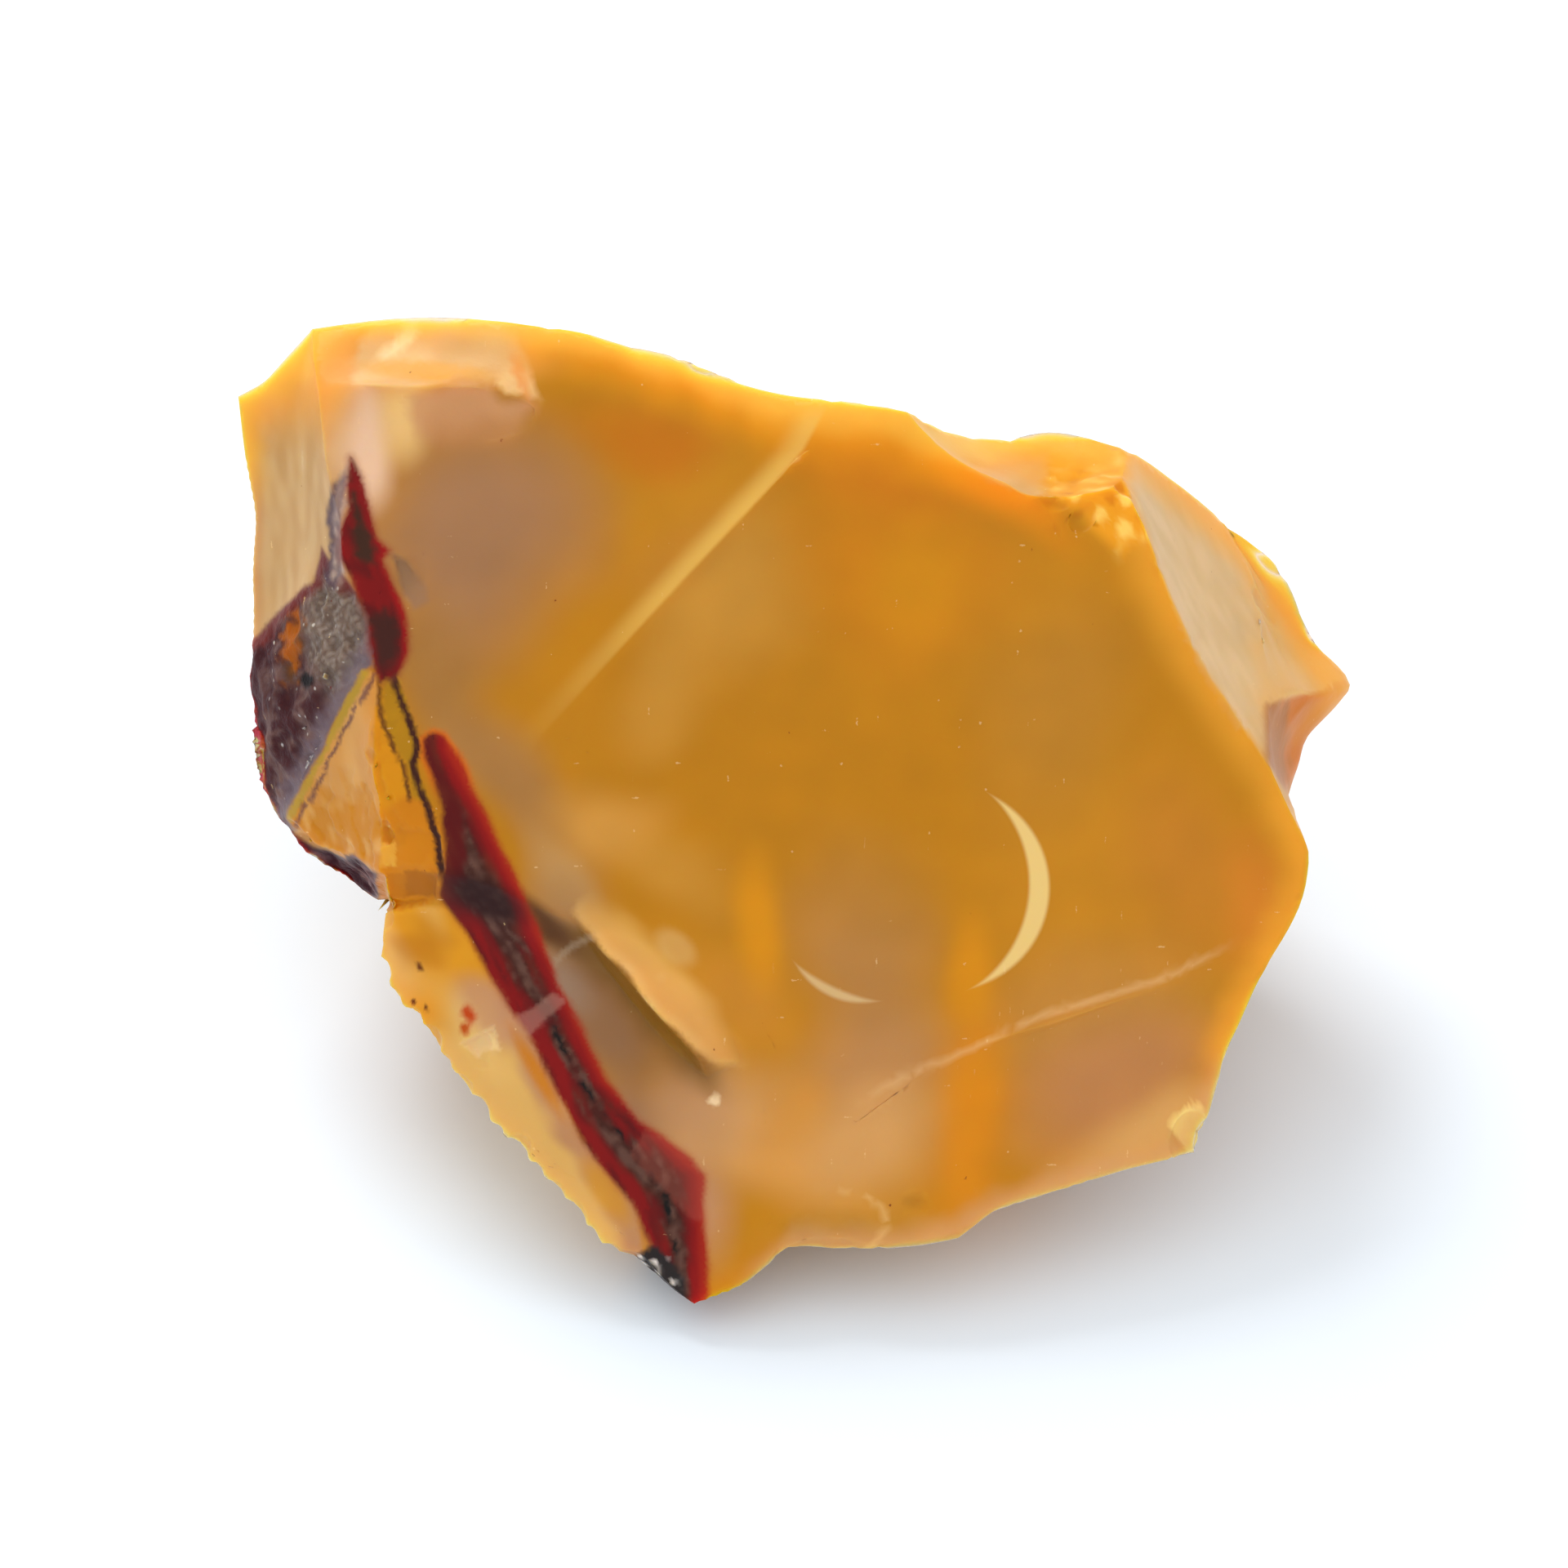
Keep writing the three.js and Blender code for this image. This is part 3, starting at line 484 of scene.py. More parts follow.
clouds = [
    (-15.5, 14, 6.5, 6.5, 0, 1.0, MAUVE),
    (-13.6, 2, 8, 2.4, -56, 0.8, paint(170, 124, 76)),
    (-11.4, -3.6, 3.4, 1.6, -56, 0.8, paint(196, 152, 96)),
    (-2.6, 10.6, 6, 3.4, 50, 0.7, HONEY),
    (-5.8, 5.6, 3, 2.4, 30, 0.5, HONEY),
    (-8.8, -0.4, 3.6, 2.6, 10, 0.8, paint(212, 154, 74)),
    (-5.4, -2.8, 3.6, 2, -30, 0.5, HONEY),
    (5.6, 12.6, 5.6, 5.4, 60, 0.95, paint(204, 130, 8)),
    (4.6, 17, 5, 2.2, -12, 0.7, paint(205, 122, 14)),
    (-6.8, 18.8, 4.4, 2.2, 0, 0.9, paint(196, 118, 30)),
    (9.4, 16.8, 5.4, 1.9, -30, 0.95, paint(238, 144, 14)),
    (3.4, -6.8, 4.4, 4.4, 0, 0.85, paint(178, 128, 74)),
    (4, -12.6, 5.4, 4, 20, 0.85, paint(190, 138, 88)),
    (14.6, -9.6, 6, 4, 18, 0.75, paint(188, 133, 66)),
    (16, -13.2, 6.6, 3.2, 18, 0.9, paint(188, 130, 82)),
    (19.4, -2.6, 3.4, 6, 0, 0.7, paint(192, 125, 48)),
    (22.4, -4, 2, 4.6, -10, 0.8, paint(208, 128, 48)),
    (-2.8, -15.6, 3.4, 3.4, 0, 0.9, paint(206, 154, 98)),
    (-4.4, -19.4, 2.4, 3, 0, 0.8, paint(190, 142, 108)),
    (0.2, -15.8, 2, 3, 0, 0.7, paint(215, 147, 58)),
    (-3.2, -9.4, 2.4, 3.4, 30, 0.6, paint(204, 138, 54)),
    (9, -14, 2.6, 7.4, -6, 0.7, ORANGE),
    (4, -20.4, 5, 1.5, 6, 0.7, paint(182, 130, 56)),
    (3.6, -16.2, 5, 3, 10, 0.8, paint(210, 158, 98)),
    (17.4, -16, 5, 2, 18, 0.8, paint(214, 164, 100)),
    (13.6, 5.6, 4, 7, -20, 0.6, paint(180, 127, 52)),
    (4.6, -3.4, 4, 3.4, 0, 0.5, paint(178, 125, 56)),
    (-5.4, 12.6, 4, 2.4, 40, 0.5, paint(180, 122, 50)),
]
spots = [
    (-1.5, -5.2, 1.3, 3.6, -4, 0.85, paint(218, 146, 0)),
    (9.2, -7.4, 1.6, 3, -8, 0.85, paint(214, 142, 0)),
    (9.1, -15, 1.6, 4.8, -4, 0.85, paint(218, 138, 4)),
    (6.4, 11.6, 3.4, 3, 60, 0.8, paint(206, 140, 0)),
    (-16.4, 7.2, 2.4, 3.6, 10, 0.5, paint(164, 120, 70)),
]
LOW_LINE = [(3, -14.4), (7.2, -12.2), (12.5, -9.8), (18.6, -8), (22.2, -6.2)]
stray_across = wander(7, 11) * 0.8 + wander(3, 12) * 0.3
stray_up = wander(6, 13) * 0.8 + wander(3, 14) * 0.3


def clouded(colour, listed, stray=1.0):
    for middle_across, middle_up, half_long, half_wide, turn, strength, tint in listed:
        at_across, at_up = middle_across - stray_across * stray, middle_up - stray_up * stray
        reach = oval(at_across, at_up, half_long, half_wide, turn)
        colour = over(colour, fade(reach, 1.3, 0.2) * strength, tint)
    return colour


ground = np.tile(MUSTARD, (len(place), 1))
ground = over(ground, fade(wander(8, 15), -0.6, 1.2) * 0.8, paint(196, 134, 42))
colour = clouded(clouded(ground, clouds), spots, 0.5)
# Painted shading: the face darkens up and to the left and lightens down and to the right.
painted_shading_slope = np.clip(across - up, -26, 26)
colour = colour * (0.99 + 0.0028 * painted_shading_slope)[:, None]
low_line = up - np.interp(across, *np.transpose(LOW_LINE))
low_line_share = fade(np.abs(low_line + stray_up * 0.15), 0.32, 0.04) * front
low_line_share = low_line_share * fade(across, 3, 6) * fade(across, 22.6, 20)
colour = over(colour, low_line_share * 0.4, paint(232, 190, 134))
print(len(clouds), "clouds of colour")

# %% [markdown]
# Away from the struck face the photograph shows nothing, so the clouds there are left to `wander`,
# in the colours that this stone has elsewhere: mustard, cream, orange and mauve.

# %% Colours of the hidden side
slow, slower = wander(10, 21), wander(15, 22)
hidden = over(ground, fade(slow, -0.4, 0.8), paint(214, 162, 86))
hidden = layered(hidden, (
    (fade(slower, 0.2, 1.0) * 0.9, MAUVE),
    (fade(slower, -0.4, -1.1) * 0.8, CREAM),
    (fade(wander(5, 23), 0.7, 1.5) * 0.8, paint(214, 138, 24)),
))
behind = fade(out + stray_up * 1.5, -8, -13)
colour = over(colour, behind, hidden)

# %% [markdown]
# The scars round the struck face are paler: fresh breaks, with light coming through from behind.
# Their paleness is partly their own cream and partly that light, painted in. The left flank is cream
# with upright streaks, and the right end is cream beside its ridge and peach towards the tip. The
# flank's palest streaks are painted glints and the orange towards its top is painted glow. A painted
# orange glow runs inside the right ridge and along the end's outer edge, and the underside of the
# tip is painted darker, as painted shade.

# %% Paler breaks at both ends
RIGHT_RIDGE = [(-2, 26), (1.1, 24.7), (5.2, 22), (7.8, 20.3), (11.1, 18.8), (14.5, 17.6), (16.3, 16.7)]
fine = wander(0.35, 51)
coarse = wander(1.1, 52)
beyond_ridge = across - line_at(RIGHT_RIDGE)
streaks = wander(0.5, 31, (7, 1, 1), turn=-74)
end_colour = over(paint(214, 176, 124), fade(streaks, -1, 1), paint(222, 184, 134))
# The second glaze, orange towards the end's outer edge, is painted glow of light coming through.
end_colour = layered(end_colour, (
    (fade(across + coarse * 0.3, 22.2, 24.4), paint(224, 170, 96)),
    (fade(across + up * 0.75 + coarse * 0.4, 30.6, 33), paint(234, 162, 66)),
))
# Painted shade: the underside of the tip, which faces down, is darker.
painted_shade_under_tip = fade(up - (across - 23.8) * 0.215, 5.7, 5.4) * fade(across, 23.4, 23.9)
shaded_tip_colour = over(paint(210, 120, 0), fade(across + wander(0.8, 32) * 0.2, 25.2, 24.5), paint(178, 108, 30))
end_colour = over(end_colour, painted_shade_under_tip, shaded_tip_colour)
# The first glaze is a painted orange glow inside the right ridge, where light comes through it.
colour = layered(colour, (
    (fade(beyond_ridge, -2.8, -0.3) * fade(up, -4, 0) * fade(up, 18, 15) * 0.85, paint(226, 158, 52)),
    (fade(beyond_ridge, -0.1, 0.2) * fade(up, -1.6, -0.6) * fade(out, -19, -15), end_colour),
))

flank = fade(-20.6 - across - np.clip(16 - up, 0, 9) * 0.13, -0.8, 1.6) * fade(up, 6.6, 8.4)
streaks = wander(0.6, 33, (3, 1, 1), turn=84)
flank_colour = over(paint(204, 158, 100), fade(streaks + coarse * 0.6, -1.2, 1.2), paint(216, 174, 118))
# The palest streaks are painted glints, and the orange towards the flank's top is painted glow.
flank_colour = layered(flank_colour, (
    (fade(streaks, 1.1, 1.7) * 0.6, paint(240, 214, 176)),
    (fade(across + coarse * 0.2, -25, -26.6) * fade(up, 15, 19), paint(238, 160, 64)),
    (fade(up, 17, 21) * 0.7, paint(242, 172, 82)),
))
colour = over(colour, flank, flank_colour * 0.85)

# The top scars are pale partly in their own colour and partly with painted light from above.
top_scars = [
    (-21, 18.4, 1.5, 3.8, 0, 0.95, paint(226, 188, 156)),
    (-18.9, 19.8, 1.7, 2.2, 0, 0.8, paint(236, 196, 130)),
    (-16.4, 22.6, 6.5, 2, 2, 0.8, paint(230, 168, 96)),
    (-23.6, 22.2, 3, 2.4, 40, 0.8, paint(232, 156, 66)),
]
colour = clouded(colour, top_scars)
panel_colour = over(paint(226, 176, 112), fade(wander(1.4, 34, (2, 1, 1)), -0.6, 0.8), paint(238, 194, 132))
panel_colour = layered(panel_colour, (
    (fade(oval(-17.6, 21.9, 4, 0.6, -4), 1.1, 0.5) * 0.85, paint(232, 166, 70)),
    (fade(depths["wedge"], -0.1, 0.2) * 0.85, paint(250, 222, 164)),
))
colour = over(colour, fade(depths["panel"], -0.15, 0.2) * front, panel_colour * 0.9)
scar_colour = over(paint(190, 132, 88), fade(up + coarse * 0.3, 17.6, 20.6), paint(212, 156, 108))
in_scar = fade(depths["inner scar"], -0.1, 0.8) * fade(up - across * 0.2, 20.4, 23) * front
colour = layered(colour, (
    (in_scar * 0.9, scar_colour * 0.95),
    (fade(oval(-12.9, 21.6, 1.5, 0.4, -70), 1.1, 0.4) * 0.6, paint(226, 138, 60)),
    (fade(depths["little scar"], -0.1, 0.3) * front * 0.8, paint(152, 116, 88)),
    (fade(depths["corner chip"], -0.05, 0.12) * (1 - behind), paint(246, 210, 126)),
))
print("both ends are pale")

# %% [markdown]
# The lower scar beside the vein is mauve grey. It is dark under the ledge and below the ridge that
# leads to it, and that dark is painted shade, partly laid into the scar's clouds. The ledge itself is
# a tongue of pale cream, partly painted light that comes through the thin lip, with a painted
# highlight on it. The thin blade left of the vein is cream, with a yellow edge of painted light
# coming through it, pink by the vein, and one red spot and a few brown ones.

# %% The ledge, the scar below it and the blade
# The darkest of these clouds are partly the scar's own mauve grey and partly painted shade of its hollow.
low_scar = [
    (-9.2, -9, 7, 2.8, -54, 0.95, paint(150, 110, 78)),
    (-11.2, -7.4, 2, 1.3, -40, 0.8, paint(160, 132, 110)),
    (-6.8, -15.4, 2, 3.4, 30, 0.8, paint(158, 118, 92)),
    (-4.2, -14.4, 2, 3, 20, 0.6, paint(188, 142, 104)),
]
colour = clouded(colour, low_scar)
# Painted shade under the ledge.
painted_shade_under_tongue = fade(depths["tongue"], -2, -0.1) * fade(across + up * 0.86, -12.4, -13.4)
painted_shade_under_tongue = painted_shade_under_tongue * fade(up, -4.6, -6) * fade(across + up * 0.3, -6.4, -8)
colour = over(colour, painted_shade_under_tongue * 0.85, paint(122, 84, 34))
# Painted shade below the ridge that leads to the ledge.
painted_shade_under_ridge = fade(oval(-12.6, -4.8, 3.8, 1, -34), 1.15, 0.4)
colour = over(colour, painted_shade_under_ridge * 0.9, paint(88, 56, 38))
arc = fade(np.abs(oval(-8.2, -9.6, 3.9, 3.9) - 1), 0.06, 0.02)
arc = arc * fade(across, -8.8, -9.4) * fade(up, -9.6, -9)
colour = over(colour, arc * fade(across, -11.6, -11.2) * 0.4, paint(180, 156, 128))
tongue_colour = over(paint(220, 170, 88), fade(up + across * 0.7, -10, -13), paint(224, 166, 92))
tongue_colour = layered(tongue_colour, (
    (fade(depths["tongue"], 0.8, 0.1) * 0.5, paint(232, 190, 118)),
    (fade(coarse, 0.2, 1.2) * 0.4, paint(236, 196, 134)),
))
along_tongue = fade(oval(-6.4, -8.3, 6.4, 1.9, -46) + coarse * 0.08, 1.1, 0.5)
over_tongue = fade(depths["tongue"], -0.1, 0.2) * front * along_tongue
# The tongue's cream is partly painted light through the thin lip, and the pale patch on it is a painted
# highlight.
colour = layered(colour, (
    (over_tongue * 0.9, tongue_colour),
    (fade(oval(-5.3, -6.4, 1.3, 0.8, -40), 1.2, 0.5) * front * 0.4, paint(226, 186, 120)),
    (fade(oval(-3.4, -13.9, 0.34, 0.3) + fine * 0.1, 1.1, 0.6) * front, paint(238, 206, 160)),
))

LEFT_OF_VEIN = [(-24, -6.4), (-19, -7.3), (-15.8, -9.9), (-10.5, -12.5), (-5.8, -15.5), (-3.8, -16.8)]
beside = line_at(LEFT_OF_VEIN) - across
blade = fade(beside, -0.1, 0.2) * fade(up, -4.2, -4.6) * fade(out, -14, -11)
blade_colour = over(paint(196, 144, 100), fade(beside + coarse * 0.3, 0.6, 1.8), paint(224, 178, 102))
# The yellow at the blade's edge is painted light coming through the thin blade.
blade_colour = layered(blade_colour, (
    (fade(up + beside * 0.5, -9.4, -7), paint(226, 156, 44)),
    (fade(oval(-14.6, -9.6, 2.4, 1.4, -50), 1.2, 0.5) * 0.8, paint(204, 152, 112)),
    (fade(wander(1.8, 42, (2, 1, 1), turn=-55), 0, 1) * 0.6, paint(236, 196, 124)),
    (fade(oval(-17.5, -6.2, 1.8, 1.4) + coarse * 0.3, 1.2, 0.2) * 0.5, paint(190, 114, 14)),
    (fade(oval(-12.1, -12.6, 3, 0.45, -60), 1.2, 0.3) * 0.9, paint(206, 128, 22)),
    (fade(oval(-8.7, -18.4, 2.2, 0.8, -56), 1.2, 0.4) * 0.8, paint(214, 150, 50)),
    (fade(depths["cream chip"], -0.05, 0.15) * 0.9, paint(240, 202, 142)),
))
for spot_across, spot_up, wide, tint in (
    (-15.5, -9.7, 0.42, paint(200, 78, 20)),
    (-15.7, -10.4, 0.3, paint(196, 90, 30)),
    (-17.9, -7.4, 0.2, paint(120, 66, 24)),
    (-18.2, -9.1, 0.14, paint(110, 56, 30)),
    (-17.6, -9.4, 0.14, paint(110, 56, 30)),
):
    spot_reach = oval(spot_across, spot_up, wide, wide * 1.5, 20) + fine * 0.15
    blade_colour = over(blade_colour, fade(spot_reach, 1.1, 0.4), tint)
colour = over(colour, blade, blade_colour * 0.92)
print("ledge, low scar and blade are coloured")

# %% [markdown]
# Behind the top ridge lies a narrow peach-coloured break, and where it meets the right ridge the
# edge is crushed into bright orange crumbs. The darker streaks among the crumbs are painted shade.

# %% The break behind the top ridge
crumbs = wander(0.55, 45, (2, 1, 1), turn=70)
colour = over(colour, fade(depths["top strip"], -0.1, 0.2) * (1 - behind), paint(230, 174, 102) * 0.85)
crushed_colour = over(paint(234, 160, 44), fade(crumbs, 0.1, 0.9), paint(248, 206, 104))
# Painted shade: the darker streaks among the crumbs.
crushed_colour = over(crushed_colour, fade(crumbs, -0.5, -1.2), paint(212, 128, 20))
colour = over(colour, fade(depths["crushed"], -0.4, 0.4) * (1 - behind) * 0.9, crushed_colour)
print("top strip points:", int((depths["top strip"] > 0).sum()))

# %% [markdown]
# Light that enters at the back leaves at the edges, so the outline of the stone has a bright rim of
# painted light: wide and orange yellow along the top, narrow elsewhere. A point's gap to the outline
# is found by its direction: how far the stone reaches that way, less how far out the point lies.

# %% Glowing edges
DIRECTIONS = 180
MIDDLE_UP = 2


def gap_to_outline():
    right, above = across, up - MIDDLE_UP
    reach = np.hypot(right, above)
    turn = (np.arctan2(above, right) / (2 * math.pi) + 0.5) * DIRECTIONS
    furthest = np.zeros(DIRECTIONS + 1)
    np.maximum.at(furthest, turn.astype(int), reach)
    furthest[-1] = furthest[0]
    return np.interp(turn, np.arange(DIRECTIONS + 1) + 0.5, furthest) - reach


gap = gap_to_outline() + coarse * 0.15
on_top = fade(up + across * 0.1, 12, 16) * fade(across, 17, 15)
on_right = fade(across, 12, 18)
# Painted light: every rim below is glow laid into the colour.
painted_glow = on_top * fade(gap, 4.4, 0.4)
colour = layered(colour, (
    (painted_glow * fade(across, -14.5, -12) * 0.9, paint(232, 150, 34)),
    (on_top * fade(gap, 2.2, 0.2) * 0.85, paint(252, 196, 76) * 0.85),
    (on_right * fade(up, 2, 0) * fade(up, -14, -11) * fade(gap, 2, 0.2) * front * 0.8, paint(232, 162, 54)),
    (on_right * fade(up, 3, 6) * fade(gap, 2.2, 0.3) * 0.7, paint(238, 170, 72)),
))
low_edge = fade(up, -12, -16) * fade(across, -3, 0)
low_edge = np.maximum(low_edge, on_right * fade(up, -11, -14))
colour = over(colour, low_edge * fade(gap, 1.6, 0.2) * 0.7, paint(206, 160, 108))
bottom_rim = fade(np.abs(oval(2.1, -20, 2.9, 1.7, 4) - 1), 0.09, 0.02) * fade(across, 1, 4)
colour = over(colour, bottom_rim * front * 0.5, paint(226, 182, 116))
print("rim points:", int((gap < 1).sum()))

# %% [markdown]
# The rind is the old skin of the nodule: dark purple chert with grey sparkling quartz in it, a red
# line where it meets the yellow, and one rusty orange hollow. The facet below it is peach with a
# yellow margin, a thin purple line and orange terraces. The strip beside it has dark lines.

# %% Rind, facet and strip
rind_colour = over(paint(76, 44, 46), fade(coarse + fine * 0.5, -0.2, 1), paint(120, 92, 86))
quartz = fade(oval(-22, 8.8, 1.6, 3.4, 14) + fine * 0.12, 1.25, 0.7)
grains = over(paint(112, 92, 80), fade(wander(0.22, 54), -0.6, 1.2), paint(154, 138, 126))
rind_colour = over(rind_colour, quartz, grains)
rusty = fade(oval(-24.2, 8.4, 0.6, 2, -6) + fine * 0.3, 1.2, 0.5)
rind_colour = layered(rind_colour, (
    (rusty, over(paint(176, 96, 30), fade(coarse + fine * 0.4, -0.4, 0.6), paint(108, 74, 50))),
    (fade(oval(-23.5, 6.7, 0.35, 0.5) + fine * 0.15, 1.2, 0.5), paint(40, 24, 18)),
    (fade(across - 0.3 * fine, -25.2, -26.2) * fade(up, 9, 6) * 0.9, paint(72, 38, 42)),
))
rind_rim = fade(depths["rind"] + fine * 0.1, 0.8, 0.2) * fade(up - (across + 24) * 1.1, 7.4, 8.4)
rind_colour = over(rind_colour, rind_rim * 0.9, paint(122, 52, 48))
facet_side = (up - (across + 24.6) * 1.83) / 2.08
rind_colour = over(rind_colour, fade(facet_side + fine * 0.2, 1.3, 0.3) * 0.75, paint(132, 114, 120))
shown = fade(front, 0.02, 0.3)
colour = over(colour, fade(depths["rind"], -0.12, 0.12) * shown, rind_colour * 0.85)
foot_colour = over(paint(66, 36, 42), fade(coarse + fine * 0.4, -0.2, 0.9), paint(120, 92, 94))
colour = over(colour, fade(depths["rind foot"], -0.12, 0.12) * shown, foot_colour * 0.85)
lavender = over(paint(158, 134, 126), fade(fine + coarse * 0.5, -0.4, 1), paint(190, 164, 148))
lavender_edge = fade(depths["lavender"] + fine * 0.05, 0.45, 0.1) * fade(across, -21.7, -22.1)
lavender = over(lavender, lavender_edge, paint(96, 76, 84))
in_lavender = fade(depths["lavender"] + fine * 0.08, -0.2, 0.2) * fade(out, -14, -12)
colour = over(colour, in_lavender, lavender * 0.85)

peach = fade(wander(1.2, 53, (1, 3, 1)), -0.2, 1) * 0.6
facet_colour = over(paint(222, 156, 78), peach, paint(232, 172, 96))
terraces = fade(up + coarse * 0.6, 1.8, 0.6)
terrace_colour = over(paint(216, 140, 38), fade(crumbs, 0, 1), paint(228, 164, 80))
facet_colour = over(facet_colour, terraces, terrace_colour)
purple_line = fade(np.abs(facet_side + 0.62 + coarse * 0.12), 0.16, 0.05) * fade(fine, -1.2, -0.4)
facet_colour = layered(facet_colour, (
    (purple_line * 0.8, paint(112, 70, 70)),
    (fade(facet_side + fine * 0.06, -0.42, -0.28), paint(196, 156, 56)),
))
colour = over(colour, fade(depths["facet"], -0.06, 0.1) * fade(out, -13, -11), facet_colour * 0.84)

INNER_LINE = [
    (0.7, -18.4), (1.4, -18.5), (2.5, -18.7), (3.3, -19.2), (4.5, -19.7), (5.5, -19.9), (7, -19.8),
]
OUTER_LINE = [
    (-2.8, -16.7), (-1, -16.9), (0.4, -17.4), (1.4, -17.8), (2.5, -18.1), (3.5, -17.9),
    (5.8, -18.7), (7, -19.1),
]
inner_gap = across - line_at(INNER_LINE)
outer_gap = across - line_at(OUTER_LINE)
strip_colour = over(paint(222, 148, 34), fade(inner_gap, 0, 0.3), paint(184, 132, 22))
strip_colour = over(strip_colour, fade(up + coarse * 0.3, 0.9, 0.4), paint(214, 134, 14))
for block_across, block_up, half_wide, half_tall, tint in (
    (-19.3, -0.9, 0.6, 0.6, paint(208, 130, 16)),
    (-17.9, -3.4, 0.9, 0.62, paint(176, 106, 12)),
    (-19.2, -3.5, 0.5, 0.6, paint(196, 120, 16)),
    (-19.6, -1.9, 0.4, 0.6, paint(234, 172, 66)),
):
    block = np.maximum(np.abs(across - block_across) / half_wide, np.abs(up - block_up) / half_tall)
    strip_colour = over(strip_colour, fade(block + fine * 0.04, 1.08, 0.95) * 0.85, tint)
inner_dark = fade(np.abs(inner_gap + coarse * 0.05), 0.17, 0.06) * fade(up, 0.5, 1) * fade(fine, -1.6, -0.8)
strip_colour = over(strip_colour, inner_dark * 0.85, paint(86, 48, 26))
outer_dark = fade(np.abs(outer_gap + 0.12 + coarse * 0.06), 0.26, 0.12) * fade(out, -14, -12)
outer_dark = outer_dark * fade(up, -3.4, -2.6) * fade(up, 7.3, 6.9)
colour = over(colour, fade(depths["strip"], -0.06, 0.1) * fade(out, -13, -11), strip_colour * 0.9)
print("rind, facet and strip are coloured")

# %% [markdown]
# The vein is iron-rich chert: a bright red rim, a maroon body, a grey core and a black crack down
# the middle that opens here and there. The distance to its outline says which of these a point
# lies in. Two small scars cross it, and the vein looks paler through their thin glaze.

# %% Veins
CRACK = [(-22.4, -5.1), (-19.7, -5.6), (-18.6, -5.8), (-16.6, -7.2), (-15, -8.5), (-12.5, -10.3), (-9, -12)]
RIGHT_OF_VEIN = [
    (-24, -3.8), (-17.6, -4), (-16, -5.7), (-13, -8.7), (-9.8, -10.2), (-3.8, -12.8),
    (0, -14.6), (3.2, -16.3),
]
vein = depths["vein"]
to_right = line_at(RIGHT_OF_VEIN) - across
streaks = wander(0.3, 62, (5, 1, 1), turn=-62)
vein_colour = over(paint(96, 28, 22), fade(coarse + streaks * 0.5, -0.6, 0.9), paint(104, 46, 38))
core = fade(vein + streaks * 0.25, 0.7, 1.2) * fade(up, 2.5, 0)
core_colour = over(paint(72, 46, 40), fade(fine + streaks, -0.6, 1.2), paint(104, 76, 66))
vein_colour = over(vein_colour, core * 0.9, core_colour)
right_rim = fade(to_right + streaks * 0.12, 1.05, 0.5)
right_colour = over(paint(140, 26, 16), fade(to_right, 0.5, 0.1), paint(164, 46, 24))
vein_colour = over(vein_colour, right_rim, right_colour)
left_rim = fade(vein + streaks * 0.12, 1, 0.5) * fade(up, -4, -6) * fade(to_right, 1, 1.4)
vein_colour = over(vein_colour, left_rim, over(paint(134, 32, 22), fade(streaks, 0, 1), paint(108, 30, 24)))
crack = line_at(CRACK) - across
crack_open = fade(wander(0.7, 61), -0.3, 0.3) * fade(up, -9.4, -10.4)
# The second glaze, a dark patch, is painted shade below the ridge that crosses the vein.
vein_colour = layered(vein_colour, (
    (fade(np.abs(crack + fine * 0.06), 0.2, 0.06) * crack_open, paint(34, 32, 32)),
    (fade(oval(-14.6, -4, 2.6, 1.1, -26), 1.2, 0.4) * 0.85, paint(52, 24, 22)),
    (fade(depths["pale band"], -0.05, 0.15) * 0.4, paint(186, 136, 120)),
    (fade(depths["low band"], -0.05, 0.15) * 0.22, paint(190, 100, 84)),
))
halo = fade(vein, -0.45, -0.05) * fade(up, 0.5, 2.5) * fade(out, -4, -2)
colour = layered(colour, (
    (halo, paint(218, 116, 20)),
    (fade(vein, -0.45, -0.05) * fade(out, -12, -9) * 0.25, paint(170, 70, 36)),
    (fade(vein, -0.24, 0.06), vein_colour),
    (outer_dark, paint(72, 44, 38)),
))

upper = depths["upper vein"]
upper_colour = over(paint(126, 30, 22), fade(streaks + coarse, -0.4, 1), paint(98, 34, 28))
upper_colour = layered(upper_colour, (
    (fade(upper, 0.5, 0.15) * fade(across + up * 0.2, -17.6, -17), paint(150, 34, 24)),
    (fade(depths["upper core"] + fine * 0.15, -0.2, 0.3), paint(70, 48, 40)),
    (fade(depths["upper foot"] + fine * 0.15, -0.4, 0.3), paint(74, 44, 40)),
))
colour = layered(colour, (
    (fade(upper, -0.4, -0.05) * fade(out, -12, -10) * 0.3, paint(150, 80, 60)),
    (fade(upper, -0.14, 0.1) * shown, upper_colour),
))
toe_colour = over(paint(52, 48, 48), fade(fine + coarse * 0.4, 0.2, 0.9), paint(222, 216, 208))
colour = over(colour, fade(depths["toe"], -0.1, 0.15), toe_colour)
mottling = 1 + wander(1.5, 63) * 0.025 + wander(4, 64) * 0.035
colour = np.clip(colour * mottling[:, None], DARKEST, PALEST)
print("the veins are coloured")

# %% [markdown]
# Two pale crescents lie just under the face. They are the edges of tiny cone-shaped cracks left by
# knocks, and light turns back at them, so their paleness is a painted reflection. A pale crest line,
# crisp on one side, runs down the face as well. All three are finer than the mesh, so the material
# draws them: the crescents from circles, the crest line from how far off it each point lies. Here
# the crest line is measured, and where on the face the scratches are.

